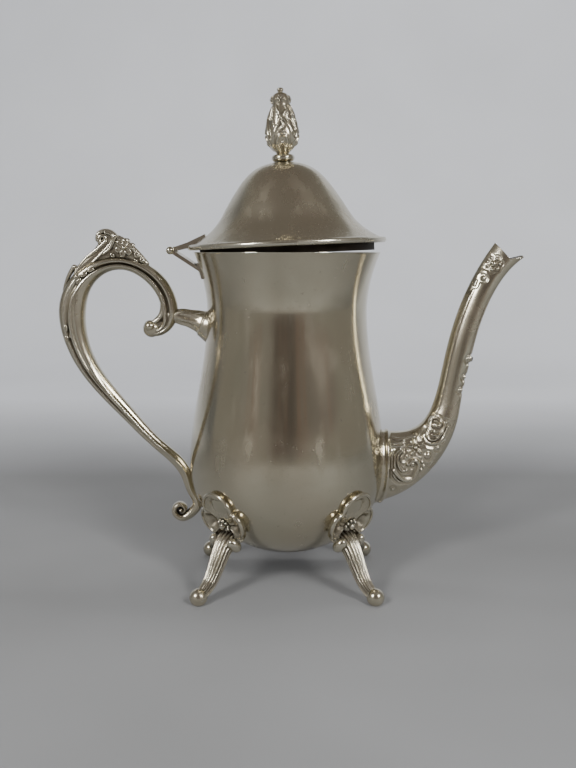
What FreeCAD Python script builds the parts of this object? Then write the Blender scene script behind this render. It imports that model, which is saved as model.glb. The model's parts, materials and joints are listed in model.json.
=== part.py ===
"""Coffee pot on four ball feet, with a hinged domed lid, a swan-neck spout and a scroll handle.

Millimetres, +Z up. The origin is on the table, under the axis of the body.
The spout points to +X and the handle to -X.
"""
import FreeCAD
import Part
import math
import os

V = FreeCAD.Vector
UP = V(0, 0, 1)
ACROSS = V(0, 1, 0)

# Body: a spun pear-shaped shell
BODY_WALL = 1.0
BASE_Z = 16.5
BELLY_Z = 61.5
BELLY_BULGE = 2.9  # the belly is this much wider than the rim, in radius
WAIST_Z = 141.5
WAIST_DRAW = 6.7  # the waist is this much narrower than the rim, in radius
RIM_Z = 171.5
RIM_R = 47.5
RIM_FLARE = 0.42  # outward run for each millimetre of height, at the rim
SOLDER_GAP = 0.03  # seam under each piece that is soldered on

# Strainer: holes through the body's wall behind the spout
STRAINER_HOLE_R = 1.5
STRAINER_PITCH = 5.0
STRAINER_ROWS = 5
STRAINER_COLUMNS = 3

# Spout: two half shells
SPOUT_Z = 60.5  # height of the middle of its root
SPOUT_REACH = 72.0  # from the body's skin to the beak
SPOUT_WALL = 1.2

# Handle: one casting
HANDLE_FOOT_Z = 48.5  # middle of the stretch that lies along the belly
HANDLE_ARM_Z = 135.5  # middle of the upper arm, where it meets the waist
HANDLE_REACH = 69.0  # from the waist to the middle of the grip
HANDLE_BITE = 0.5  # the stretch along the belly is cut this deep to fit it
ARM_ROOT_R = 8.0
ARM_R = 4.3
ARM_SWELL_R = 5.6  # where the arm starts to flare
SCROLL_BALL_R = 3.4
SCROLL_BALL_AT = (0.3, 0.7)  # from the end of the upper curl, in shares of the ball's radius
CREST_THICKNESS = 5.5
CREST_FLOWER_R = 4.8
CREST_FLOWER_AT = (-0.609, 0.559)  # from the arm's root, in shares of the reach
CREST_FLOWER_THICKNESS = 8.5

# Feet: plate, leg and ball in one casting
FEET = ("foot_rear_right", "foot_rear_left", "foot_front_left", "foot_front_right")  # evenly round
FIRST_FOOT_ANGLE = 45  # of the first foot, in degrees from the spout
FOOT_SPLAY = 10.9  # the balls stand this far outside the belly
FOOT_BALL_R = 4.4
FOOT_FLAT_R = 2.0
FOOT_PLATE_Z = 38.0
FOOT_PLATE_R = 15.5
FOOT_PLATE_BULGE = 5.0
LEG_TOP_DROP = 10.0  # from the middle of the plate down its face to the top of the leg
LEG_TOP_THICKNESS = 6.5
LEG_TOP_WIDTH = 12.5
ANKLE_THICKNESS = 4.2
ANKLE_WIDTH = 4.8
LEG_KNEE = (0.45, 0.02)  # shares of the leg's run and fall, where it turns down
LEG_SHIN = (0.50, 0.75)  # the same, where it turns out to the ball
LEG_STATIONS = 5

# Lid: spun dome with a rolled bead, and the bezel that drops into the mouth
LID_AJAR = 2.5  # degrees that the lid stands open
LID_WALL = 0.9
LID_OVERHANG = 3.0
LID_BEAD_R = 1.4
LID_SEAT_GAP = 0.3
LID_HEIGHT = 41.0  # crown above the middle of the bead
LID_CROWN_SPREAD = 16.0  # how flat the crown is
LID_SHOULDER_R = 28.3
LID_SHOULDER_H = 21.6
LID_SHOULDER_SLOPE = 0.66  # outward run for each millimetre of drop, at the shoulder
LID_SKIRT_SLOPE = 2.1  # the same, at the bead
LID_SHOULDER_HANDLE = 11.0  # how far the shoulder's slope carries up the dome
BEZEL_WALL = 1.0
BEZEL_DROP = 5.0
BEZEL_CLEARANCE = 0.8

# Finial and what holds it
COLLAR_R = 5.8
COLLAR_H = 3.6
FINIAL_H = 33.0
FINIAL_FOOT_R = 2.7
FINIAL_BULB_R = 8.6
FINIAL_BULB_H = 9.0
FINIAL_NECK_R = 4.8
FINIAL_NECK_H = 24.5
FINIAL_HEAD_R = 5.5
FINIAL_HEAD_H = 27.0
FINIAL_TIP_R = 0.9
STUD_R = 1.5
STUD_CLEARANCE = 0.05
STUD_GRIP = 8.0  # length of stud inside the finial
STUD_TAIL = 1.2  # length of stud below the nut
STACK_GAP = 0.02  # seam between pieces that are screwed down on each other
WASHER_R = 5.0
WASHER_H = 0.8
NUT_ACROSS_FLATS = 5.5
NUT_H = 2.4

# Hinge
HINGE_REACH = 11.1  # from the rim to the pin's axis
HINGE_RISE = 0.8  # the pin's axis above the rim
PIN_R = 0.9
PIN_CLEARANCE = 0.05
PIN_HEAD_R = 2.0
KNUCKLE_R = 1.9
KNUCKLE_LENGTH = 5.0
KNUCKLE_GAP = 0.3
LID_KNUCKLE_LENGTH = 9.0
SWEEP_CLEARANCE = 0.8  # room around the lid's knuckle as it turns
LEAF_THICKNESS = 1.2
LEAF_TOP_DROP = 5.5  # from the rim to the top of the leaf
LEAF_HEIGHT = 8.0
BRACKET_THICKNESS = 1.8
STRAP_THICKNESS = 1.3
STRAP_REACH = 8.0  # how far the strap runs up the lid's skirt, from the bead

# Sizes that follow
BELLY_R = RIM_R + BELLY_BULGE
WAIST_R = RIM_R - WAIST_DRAW
FOOT_CIRCLE_R = BELLY_R + FOOT_SPLAY
SPOUT_RISE = RIM_Z - SPOUT_Z
HINGE_X = -(RIM_R + HINGE_REACH)
HINGE_Z = RIM_Z + HINGE_RISE
HINGE = V(HINGE_X, 0, HINGE_Z)
LID_R = RIM_R + LID_OVERHANG
LID_Z = RIM_Z + LID_SEAT_GAP + LID_BEAD_R
CROWN_Z = LID_Z + LID_HEIGHT
FINIAL_Z = CROWN_Z + COLLAR_H + 2 * STACK_GAP
FOOT_BALL_Z = math.sqrt(FOOT_BALL_R**2 - FOOT_FLAT_R**2)
OVAL_STEPS = 12  # points round half an oval section
HALVINGS = 50  # steps of a search by halving, far below a nanometre
QUARTER = 0.5523  # handle length with which a cubic curve draws a quarter ellipse


def cubic(poles, t):
    """Point at share t of the cubic curve with these four (radius, height) poles."""
    weights = ((1 - t) ** 3, 3 * t * (1 - t) ** 2, 3 * t * t * (1 - t), t**3)
    return tuple(sum(w * p[axis] for w, p in zip(weights, poles)) for axis in (0, 1))


def radius_at(curves, z):
    """Radius where a chain of cubic curves, all rising or all falling, passes the height z."""
    rising = curves[0][0][1] < curves[-1][-1][1]
    low, high = 0.0, float(len(curves))
    for _ in range(HALVINGS):
        middle = (low + high) / 2
        index = min(int(middle), len(curves) - 1)
        passed = cubic(curves[index], middle - index)[1] > z
        if passed == rising:
            high = middle
        else:
            low = middle
    return cubic(curves[index], middle - index)[0]


def height_at(poles, radius):
    """Height where a cubic curve that runs outward passes this radius."""
    low, high = 0.0, 1.0
    for _ in range(HALVINGS):
        middle = (low + high) / 2
        if cubic(poles, middle)[0] < radius:
            low = middle
        else:
            high = middle
    return cubic(poles, middle)[1]


def body_curves(grow=0.0):
    """The body's outline from the middle of its base up to the rim, moved outward by grow."""
    base_z = BASE_Z - grow
    belly_r = BELLY_R + grow
    waist_r = WAIST_R + grow
    rim_r = RIM_R + grow
    drop = QUARTER * (BELLY_Z - base_z)
    side = (WAIST_Z - BELLY_Z) / 3
    neck = (RIM_Z - WAIST_Z) / 3
    return [
        [(0, base_z), (QUARTER * belly_r, base_z), (belly_r, BELLY_Z - drop), (belly_r, BELLY_Z)],
        [(belly_r, BELLY_Z), (belly_r, BELLY_Z + side), (waist_r, WAIST_Z - side), (waist_r, WAIST_Z)],
        [(waist_r, WAIST_Z), (waist_r, WAIST_Z + neck), (rim_r - RIM_FLARE * neck, RIM_Z - neck),
         (rim_r, RIM_Z)],
    ]


def body_radius(z):
    return radius_at(body_curves(), z)


def lid_curves(grow=0.0):
    """The closed lid's outline from its crown down to the bead, moved outward by grow."""
    shoulder = math.hypot(1, LID_SHOULDER_SLOPE)
    skirt = math.hypot(1, LID_SKIRT_SLOPE)
    crown_z = CROWN_Z + grow
    shoulder_r = LID_SHOULDER_R + grow / shoulder
    shoulder_z = LID_Z + LID_SHOULDER_H + grow * LID_SHOULDER_SLOPE / shoulder
    edge_r = LID_R - LID_BEAD_R + grow / skirt
    edge_z = LID_Z + LID_BEAD_R / 2 + grow * LID_SKIRT_SLOPE / skirt
    fall = (shoulder_z - edge_z) / 3
    lift = LID_SHOULDER_HANDLE
    return [
        [(0, crown_z), (LID_CROWN_SPREAD, crown_z),
         (shoulder_r - LID_SHOULDER_SLOPE * lift, shoulder_z + lift), (shoulder_r, shoulder_z)],
        [(shoulder_r, shoulder_z), (shoulder_r + LID_SHOULDER_SLOPE * fall, shoulder_z - fall),
         (edge_r - LID_SKIRT_SLOPE * fall, edge_z + fall), (edge_r, edge_z)],
    ]


def curve_edges(curves):
    edges = []
    for poles in curves:
        curve = Part.BezierCurve()
        curve.setPoles([V(r, 0, z) for r, z in poles])
        edges.append(curve.toShape())
    return edges


def line(start, end):
    """Straight edge between two (radius, height) points."""
    return Part.makeLine(V(start[0], 0, start[1]), V(end[0], 0, end[1]))


def spin(edges):
    """Solid of revolution about the pot's axis."""
    wire = Part.Wire(Part.__sortEdges__(edges))
    return Part.Face(wire).revolve(V(0, 0, 0), UP, 360)


def spun_shell(outer, inner):
    """Shell between two outlines that both start on the axis."""
    edges = curve_edges(outer) + curve_edges(inner)
    edges.append(line(outer[0][0], inner[0][0]))
    edges.append(line(outer[-1][-1], inner[-1][-1]))
    return spin(edges)


def spun_core(outline):
    """Everything inside an outline that starts on the axis."""
    start = outline[0][0]
    end = outline[-1][-1]
    return spin(curve_edges(outline) + [line(end, (0, end[1])), line((0, end[1]), start)])


def slab(points, width):
    """Plate with this (x, z) outline, centred on the pot's middle plane."""
    corners = [V(x, -width / 2, z) for x, z in points]
    wire = Part.makePolygon(corners + corners[:1])
    return Part.Face(wire).extrude(V(0, width, 0))


def rod(radius, start, end):
    return Part.makeCylinder(radius, (end - start).Length, start, end - start)


def half_oval(section):
    """Points of a half oval, from its inner edge round the -Y side to its outer edge."""
    centre, depth, half_depth, half_width = section
    points = []
    for step in range(OVAL_STEPS + 1):
        angle = math.pi * step / OVAL_STEPS
        across = ACROSS * (-half_width * math.sin(angle))
        points.append(centre + depth * (half_depth * math.cos(angle)) + across)
    return points


def half_skin(sections):
    """Smooth surface over the -Y half of a row of oval sections."""
    surface = Part.BSplineSurface()
    surface.interpolate([half_oval(section) for section in sections])
    return surface


def closed_solid(faces):
    shell = Part.Shell(faces)
    shell.sewShape()
    solid = Part.Solid(shell)
    if solid.Volume < 0:
        solid.reverse()
    return solid


def mirrored(shape):
    return shape.mirror(V(0, 0, 0), ACROSS)


def tube(sections):
    """Solid over oval sections (centre, depth direction, half depth, half width)."""
    surface = half_skin(sections)
    first, last, _, _ = surface.bounds()
    near = surface.toShape()
    faces = [near, mirrored(near)]
    for end in (first, last):
        edge = surface.uIso(end).toShape()
        faces.append(Part.Face(Part.Wire([edge, mirrored(edge)])))
    return closed_solid(faces)


def half_pipe(outer_sections, inner_sections):
    """Hollow -Y half between two rows of sections, with its flat seams on the middle plane."""
    skins = [half_skin(outer_sections), half_skin(inner_sections)]
    faces = [skin.toShape() for skin in skins]
    for end in (0, 1):
        rims = [skin.uIso(skin.bounds()[end]).toShape() for skin in skins]
        faces.append(bridge(rims))
        seams = [skin.vIso(skin.bounds()[2 + end]).toShape() for skin in skins]
        faces.append(bridge(seams))
    return closed_solid(faces)


def bridge(edges):
    """Flat face between two edges that run side by side."""
    joins = []
    for end in (0, 1):
        joins.append(Part.makeLine(edges[0].Vertexes[end].Point, edges[1].Vertexes[end].Point))
    return Part.Face(Part.Wire(Part.__sortEdges__(edges + joins)))


def path_sections(stations):
    """Sections square to the path of (x, z, thickness, width) stations in the middle plane."""
    points = [V(x, 0, z) for x, z, _, _ in stations]
    path = Part.BSplineCurve()
    path.interpolate(points)
    sections = []
    for point, (_, _, thickness, width) in zip(points, stations):
        tangent = path.tangent(path.parameter(point))[0]
        sections.append((point, tangent.cross(ACROSS), thickness / 2, width / 2))
    return sections


def body_core():
    """The room that the body takes up, with the solder seam, for cutting pieces to fit it."""
    return spun_core(body_curves(SOLDER_GAP))


def make_body():
    shell = spun_shell(body_curves(), body_curves(-BODY_WALL))
    reach = BELLY_R + STRAINER_PITCH
    holes = []
    for row in range(STRAINER_ROWS):
        for column in range(STRAINER_COLUMNS):
            y = (column - (STRAINER_COLUMNS - 1) / 2) * STRAINER_PITCH
            z = SPOUT_Z + (row - (STRAINER_ROWS - 1) / 2) * STRAINER_PITCH
            holes.append(rod(STRAINER_HOLE_R, V(0, y, z), V(reach, y, z)))
    return shell.cut(Part.makeCompound(holes))


def spout_stations():
    """Upper and lower edge of each section of the spout, and its width.

    The rows are (x, z) of both edges and the width: x and width are shares of the reach, z of the rise.
    """
    rows = [
        ((-0.056, 0.171), (-0.069, -0.171), 0.375),
        ((0.139, 0.169), (0.158, -0.114), 0.319),
        ((0.236, 0.191), (0.331, -0.023), 0.257),
        ((0.310, 0.243), (0.472, 0.115), 0.208),
        ((0.381, 0.369), (0.546, 0.329), 0.178),
        ((0.439, 0.549), (0.611, 0.523), 0.167),
        ((0.489, 0.674), (0.657, 0.644), 0.161),
        ((0.607, 0.868), (0.789, 0.847), 0.156),
        ((0.700, 0.976), (0.889, 0.934), 0.161),
        ((0.814, 1.081), (1.003, 0.996), 0.161),
    ]
    return [(spout_point(upper), spout_point(lower), width * SPOUT_REACH) for upper, lower, width in rows]


def spout_point(share):
    """Point in the middle plane, from shares of the spout's reach and of its rise."""
    return V(body_radius(SPOUT_Z) + share[0] * SPOUT_REACH, 0, SPOUT_Z + share[1] * SPOUT_RISE)


def spout_sections(inset):
    """The spout's sections, with the skin moved inward by inset."""
    sections = []
    for upper, lower, width in spout_stations():
        depth = upper - lower
        half_depth = depth.Length / 2 - inset
        sections.append(((upper + lower) / 2, depth.normalize(), half_depth, width / 2 - inset))
    return sections


def mouth_cut():
    """Wedge that shapes the pouring lip: steep behind, level along the beak. Shares of reach and rise."""
    corners = [
        (0.750, 1.058),
        (0.865, 0.969),
        (1.000, 0.978),
        (1.250, 1.045),
        (1.250, 1.270),
        (0.750, 1.270),
    ]
    points = [spout_point(corner) for corner in corners]
    return slab([(point.x, point.z) for point in points], 2 * BELLY_R)


def make_spout_halves():
    near = half_pipe(spout_sections(0), spout_sections(SPOUT_WALL))
    near = largest(near.cut(body_core()).cut(mouth_cut()))
    return {"spout_near": near, "spout_far": mirrored(near)}


def largest(shape):
    return max(shape.Solids, key=lambda solid: solid.Volume)


def handle_stations():
    """Centre line of the scroll from its upper curl, over the grip, to its lower curl.

    The rows are (x, z, thickness, width) in shares of the handle's reach, from the arm's root, from the
    middle of the stretch along the belly, and from where that stretch ends.
    """
    arm_x = -body_radius(HANDLE_ARM_Z)
    loop = [
        (-0.442, -0.067, 0.049, 0.072),
        (-0.377, -0.072, 0.058, 0.087),
        (-0.310, -0.032, 0.078, 0.101),
        (-0.280, 0.058, 0.122, 0.116),
        (-0.288, 0.152, 0.125, 0.116),
        (-0.351, 0.283, 0.122, 0.116),
        (-0.458, 0.380, 0.110, 0.116),
        (-0.616, 0.438, 0.096, 0.119),
        (-0.775, 0.417, 0.116, 0.130),
        (-0.925, 0.304, 0.165, 0.151),
        (-1.000, 0.116, 0.200, 0.165),
        (-0.994, -0.051, 0.186, 0.162),
        (-0.916, -0.283, 0.151, 0.151),
    ]
    foot_x = -body_radius(HANDLE_FOOT_Z)
    fall = [
        (-0.504, 0.586, 0.107, 0.125),
        (-0.272, 0.343, 0.087, 0.110),
        (-0.119, 0.201, 0.090, 0.104),
    ]
    lie = [(0.101, 0.084, 0.101), (-0.007, 0.072, 0.099), (-0.109, 0.075, 0.096)]
    curl = [
        (-0.087, -0.083, 0.070, 0.093),
        (-0.152, -0.103, 0.061, 0.093),
        (-0.193, -0.065, 0.052, 0.093),
        (-0.177, -0.019, 0.043, 0.093),
    ]
    stations = placed_rows(loop, arm_x, HANDLE_ARM_Z) + placed_rows(fall, foot_x, HANDLE_FOOT_Z)
    for drop, thickness, width in lie:
        height = HANDLE_FOOT_Z + drop * HANDLE_REACH
        depth = thickness * HANDLE_REACH
        reach = body_radius(height) + depth / 2 - HANDLE_BITE
        stations.append((-reach, height, depth, width * HANDLE_REACH))
    return stations + placed_rows(curl, -body_radius(height), height)


def placed_rows(rows, x, z):
    """Rows in shares of the handle's reach, set out from the point (x, z)."""
    placed = []
    for row_x, row_z, thickness, width in rows:
        placed.append((x + row_x * HANDLE_REACH, z + row_z * HANDLE_REACH, thickness * HANDLE_REACH,
                       width * HANDLE_REACH))
    return placed


def handle_arm():
    """Short arm from the upper scroll to the waist, with a flared root: (x, z) in shares of the reach."""
    arm_x = -body_radius(HANDLE_ARM_Z)
    rows = [
        (-0.290, 0.052, ARM_R),
        (-0.138, 0.032, ARM_R),
        (-0.065, 0.006, ARM_SWELL_R),
        (-0.014, -0.029, ARM_ROOT_R),
        (0.043, -0.038, ARM_ROOT_R),
    ]
    sections = []
    for x, z, radius in rows:
        centre = V(arm_x + x * HANDLE_REACH, 0, HANDLE_ARM_Z + z * HANDLE_REACH)
        sections.append((centre, UP, radius, radius))
    return tube(sections)


def handle_crest():
    """Leaf scroll and flower that stand on top of the handle, in shares of its reach."""
    arm_x = -body_radius(HANDLE_ARM_Z)
    outline = [
        (-0.957, 0.391), (-0.855, 0.486), (-0.790, 0.580), (-0.804, 0.645), (-0.768, 0.674),
        (-0.717, 0.667), (-0.681, 0.616), (-0.623, 0.617), (-0.558, 0.572), (-0.478, 0.464),
        (-0.435, 0.399), (-0.623, 0.428), (-0.797, 0.399),
    ]
    base = V(arm_x, -CREST_THICKNESS / 2, HANDLE_ARM_Z)
    points = [base + V(x, 0, z) * HANDLE_REACH for x, z in outline]
    curve = Part.BSplineCurve()
    curve.interpolate(points, True)
    plate = Part.Face(Part.Wire(curve.toShape())).extrude(V(0, CREST_THICKNESS, 0))
    flower = V(arm_x, 0, HANDLE_ARM_Z) + V(CREST_FLOWER_AT[0], 0, CREST_FLOWER_AT[1]) * HANDLE_REACH
    half = V(0, CREST_FLOWER_THICKNESS / 2, 0)
    return plate.fuse(rod(CREST_FLOWER_R, flower - half, flower + half))


def make_handle():
    stations = handle_stations()
    scroll = tube(path_sections(stations))
    curl = V(stations[0][0], 0, stations[0][1])
    ball = Part.makeSphere(SCROLL_BALL_R, curl + V(SCROLL_BALL_AT[0], 0, SCROLL_BALL_AT[1]) * SCROLL_BALL_R)
    casting = scroll.fuse([ball, handle_arm(), handle_crest()])
    return largest(casting.cut(body_core()))


def foot_plate_frame():
    """For a foot at +X: middle of its plate on the belly, and the directions down and out of it."""
    centre = V(body_radius(FOOT_PLATE_Z), 0, FOOT_PLATE_Z)
    step = FOOT_PLATE_Z / 1000
    below = V(body_radius(FOOT_PLATE_Z - step), 0, FOOT_PLATE_Z - step)
    downhill = (below - centre).normalize()
    return centre, downhill, downhill.cross(ACROSS)


def foot_plate():
    """Round boss, part of a larger ball, that is cut to the belly."""
    centre, _, outward = foot_plate_frame()
    rise = FOOT_PLATE_BULGE + FOOT_PLATE_R**2 / (2 * BELLY_R)
    dome_r = (FOOT_PLATE_R**2 + rise**2) / (2 * rise)
    return Part.makeSphere(dome_r, centre + outward * (FOOT_PLATE_BULGE - dome_r))


def foot_leg():
    """Tapered leg that drops from the plate and runs out to the ball."""
    centre, downhill, _ = foot_plate_frame()
    top = centre + downhill * LEG_TOP_DROP
    ankle = V(FOOT_CIRCLE_R - FOOT_BALL_R / 2, 0, FOOT_BALL_Z + FOOT_BALL_R / 4)
    out = ankle.x - top.x
    fall = top.z - ankle.z
    bends = [(top.x + run * out, top.z - drop * fall) for run, drop in (LEG_KNEE, LEG_SHIN)]
    poles = [(top.x, top.z), *bends, (ankle.x, ankle.z)]
    stations = []
    for station in range(LEG_STATIONS):
        share = station / (LEG_STATIONS - 1)
        thickness = LEG_TOP_THICKNESS + (ANKLE_THICKNESS - LEG_TOP_THICKNESS) * share
        width = LEG_TOP_WIDTH + (ANKLE_WIDTH - LEG_TOP_WIDTH) * share
        stations.append(cubic(poles, share) + (thickness, width))
    return tube(path_sections(stations))


def make_foot(angle):
    """Foot that is modelled towards +X and then turned to its angle."""
    ball = Part.makeSphere(FOOT_BALL_R, V(FOOT_CIRCLE_R, 0, FOOT_BALL_Z))
    table = Part.makeBox(2 * FOOT_CIRCLE_R, 2 * FOOT_BALL_R, FOOT_BALL_R, V(0, -FOOT_BALL_R, -FOOT_BALL_R))
    foot = largest(foot_plate().fuse([foot_leg(), ball]).cut(table).cut(body_core()))
    foot.rotate(V(0, 0, 0), UP, angle)
    return foot


def hinge_half_width():
    return LID_KNUCKLE_LENGTH / 2 + KNUCKLE_GAP + KNUCKLE_LENGTH


def pin_hole():
    half = V(0, hinge_half_width(), 0)
    return rod(PIN_R + PIN_CLEARANCE, HINGE - half, HINGE + half)


def make_hinge_bracket():
    width = 2 * hinge_half_width()
    leaf_top = RIM_Z - LEAF_TOP_DROP
    leaf_low = leaf_top - LEAF_HEIGHT
    box = Part.makeBox(2 * RIM_R, width, LEAF_HEIGHT, V(-2 * RIM_R, -width / 2, leaf_low))
    leaf = spun_core(body_curves(LEAF_THICKNESS)).common(box)
    foot_z = leaf_top - LEAF_HEIGHT / 2
    foot_x = -body_radius(foot_z) + LEAF_THICKNESS
    half = BRACKET_THICKNESS / 2
    run = V(foot_x - HINGE_X, 0, foot_z - HINGE_Z).normalize()
    rise = V(-run.z, 0, run.x) * half
    ends = [HINGE - rise, HINGE + rise, V(foot_x, 0, foot_z) + rise, V(foot_x, 0, foot_z) - rise]
    strut = slab([(end.x, end.z) for end in ends], width)
    inner = LID_KNUCKLE_LENGTH / 2 + KNUCKLE_GAP
    room = V(0, inner, 0)
    sweep = rod(KNUCKLE_R + SWEEP_CLEARANCE, HINGE - room, HINGE + room)
    outer = hinge_half_width()
    bracket = leaf.fuse([strut, rod(KNUCKLE_R, HINGE - V(0, outer, 0), HINGE - room),
                         rod(KNUCKLE_R, HINGE + room, HINGE + V(0, outer, 0))])
    return largest(bracket.cut(sweep).cut(pin_hole()).cut(body_core()))


def make_hinge_pin():
    half = hinge_half_width() + STACK_GAP
    shank = rod(PIN_R, HINGE - V(0, half, 0), HINGE + V(0, half, 0))
    heads = []
    for side in (-1, 1):
        seat = HINGE + V(0, side * half, 0)
        heads.append(Part.makeSphere(PIN_HEAD_R, seat, V(0, side, 0), 0, 90, 360))
    return shank.fuse(heads)


def bead_ring(grow=0.0):
    return Part.makeTorus(LID_R - LID_BEAD_R, LID_BEAD_R + grow, V(0, 0, LID_Z), UP)


def lid_core():
    """The room that the lid takes up, with the solder seam, for cutting pieces to fit it."""
    return spun_core(lid_curves(SOLDER_GAP)).fuse(bead_ring(SOLDER_GAP))


def make_lid_dome():
    shell = spun_shell(lid_curves(), lid_curves(-LID_WALL)).fuse(bead_ring())
    return shell.cut(stud_hole())


def stud_hole():
    return Part.makeCylinder(STUD_R + STUD_CLEARANCE, LID_HEIGHT + 2 * FINIAL_H, V(0, 0, LID_Z))


def make_lid_bezel():
    low = LID_Z - BEZEL_DROP
    outer_r = body_radius(low) - BODY_WALL - BEZEL_CLEARANCE
    ring = Part.makeCylinder(outer_r, LID_SHOULDER_H, V(0, 0, low))
    ring = ring.cut(Part.makeCylinder(outer_r - BEZEL_WALL, LID_SHOULDER_H, V(0, 0, low)))
    roof = lid_curves(-LID_WALL - SOLDER_GAP)
    edge = roof[-1][-1]
    under = spin(curve_edges(roof) + [line(edge, (edge[0], low)), line((edge[0], low), (0, low)),
                                      line((0, low), roof[0][0])])
    return largest(ring.common(under))


def make_lid_hinge_strap():
    width = LID_KNUCKLE_LENGTH
    edge_r = LID_R - LID_BEAD_R
    top_r = edge_r - STRAP_REACH
    bead_top = LID_Z + LID_BEAD_R + STRAP_THICKNESS
    top_z = height_at(lid_curves()[-1], top_r) + STRAP_THICKNESS
    tongue = slab([(HINGE_X, HINGE_Z - STRAP_THICKNESS / 2), (-edge_r, LID_Z), (-top_r, LID_Z),
                   (-top_r, top_z), (-edge_r - LID_BEAD_R, bead_top),
                   (HINGE_X, HINGE_Z + STRAP_THICKNESS)], width)
    half = V(0, width / 2, 0)
    strap = tongue.fuse(rod(KNUCKLE_R, HINGE - half, HINGE + half))
    return largest(strap.cut(pin_hole()).cut(lid_core()))


def make_finial_collar():
    start = CROWN_Z + STACK_GAP
    bore = STUD_R + STUD_CLEARANCE
    flat = COLLAR_R - COLLAR_H / 2
    arc = Part.Arc(V(flat, 0, start), V(COLLAR_R, 0, start + COLLAR_H / 2), V(flat, 0, start + COLLAR_H))
    edges = [arc.toShape(), line((flat, start + COLLAR_H), (bore, start + COLLAR_H)),
             line((bore, start + COLLAR_H), (bore, start)), line((bore, start), (flat, start))]
    return spin(edges)


def finial_curves():
    """Outline of the bud from its foot over the bulb, the neck and the head to the tip."""
    bulb = (FINIAL_BULB_R, FINIAL_BULB_H)
    neck = (FINIAL_NECK_R, FINIAL_NECK_H)
    head = (FINIAL_HEAD_R, FINIAL_HEAD_H)
    swell = FINIAL_BULB_H * QUARTER
    curves = [[(FINIAL_FOOT_R, 0), (FINIAL_FOOT_R + swell, 0), (FINIAL_BULB_R, swell), bulb]]
    for (low_r, low_h), (high_r, high_h) in ((bulb, neck), (neck, head)):
        third = (high_h - low_h) / 3
        curves.append([(low_r, low_h), (low_r, low_h + third), (high_r, high_h - third), (high_r, high_h)])
    third = (FINIAL_H - FINIAL_HEAD_H) / 3
    curves.append([head, (FINIAL_HEAD_R, FINIAL_HEAD_H + third), (FINIAL_TIP_R, FINIAL_H - 2 * third),
                   (FINIAL_TIP_R, FINIAL_H)])
    return [[(r, FINIAL_Z + h) for r, h in poles] for poles in curves]


def make_finial():
    curves = finial_curves()
    start = curves[0][0]
    tip = curves[-1][-1]
    bud = spin(curve_edges(curves) + [line(tip, (0, tip[1])), line((0, tip[1]), (0, start[1])),
                                      line((0, start[1]), start)])
    socket = Part.makeCylinder(STUD_R + STUD_CLEARANCE, STUD_GRIP + STACK_GAP, V(0, 0, FINIAL_Z))
    return bud.cut(socket)


def stack_z():
    """Heights of the washer's top, the nut's top and the nut's underside."""
    washer_top = height_at(lid_curves(-LID_WALL)[0], WASHER_R) - STACK_GAP
    nut_top = washer_top - WASHER_H - STACK_GAP
    return washer_top, nut_top, nut_top - NUT_H


def make_finial_stud():
    low = stack_z()[2] - STUD_TAIL
    return Part.makeCylinder(STUD_R, FINIAL_Z + STUD_GRIP - low, V(0, 0, low))


def make_finial_washer():
    low = stack_z()[0] - WASHER_H
    washer = Part.makeCylinder(WASHER_R, WASHER_H, V(0, 0, low))
    return washer.cut(stud_hole())


def make_finial_nut():
    low = stack_z()[2]
    corner = NUT_ACROSS_FLATS / math.sqrt(3)
    turns = [math.pi * step / 3 for step in range(7)]
    wire = Part.makePolygon([V(corner * math.cos(a), corner * math.sin(a), low) for a in turns])
    return Part.Face(wire).extrude(V(0, 0, NUT_H)).cut(stud_hole())


def make_pot():
    nodes = {"body_shell": make_body(), "handle": make_handle(), "hinge_bracket": make_hinge_bracket(),
             "hinge_pin": make_hinge_pin()}
    nodes.update(make_spout_halves())
    for place, name in enumerate(FEET):
        nodes[name] = make_foot(FIRST_FOOT_ANGLE + 360 * place / len(FEET))
    return nodes


def make_lid():
    nodes = {"lid_dome": make_lid_dome(), "lid_bezel": make_lid_bezel(),
             "lid_hinge_strap": make_lid_hinge_strap(), "finial": make_finial(),
             "finial_collar": make_finial_collar(), "finial_stud": make_finial_stud(),
             "finial_washer": make_finial_washer(), "finial_nut": make_finial_nut()}
    for shape in nodes.values():
        shape.rotate(HINGE, -ACROSS, LID_AJAR)
    return nodes


def main():
    os.makedirs("parts", exist_ok=True)
    for name, shape in {**make_pot(), **make_lid()}.items():
        shape.exportStep("parts/" + name + ".step")


if __name__ == "__main__":
    main()
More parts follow.
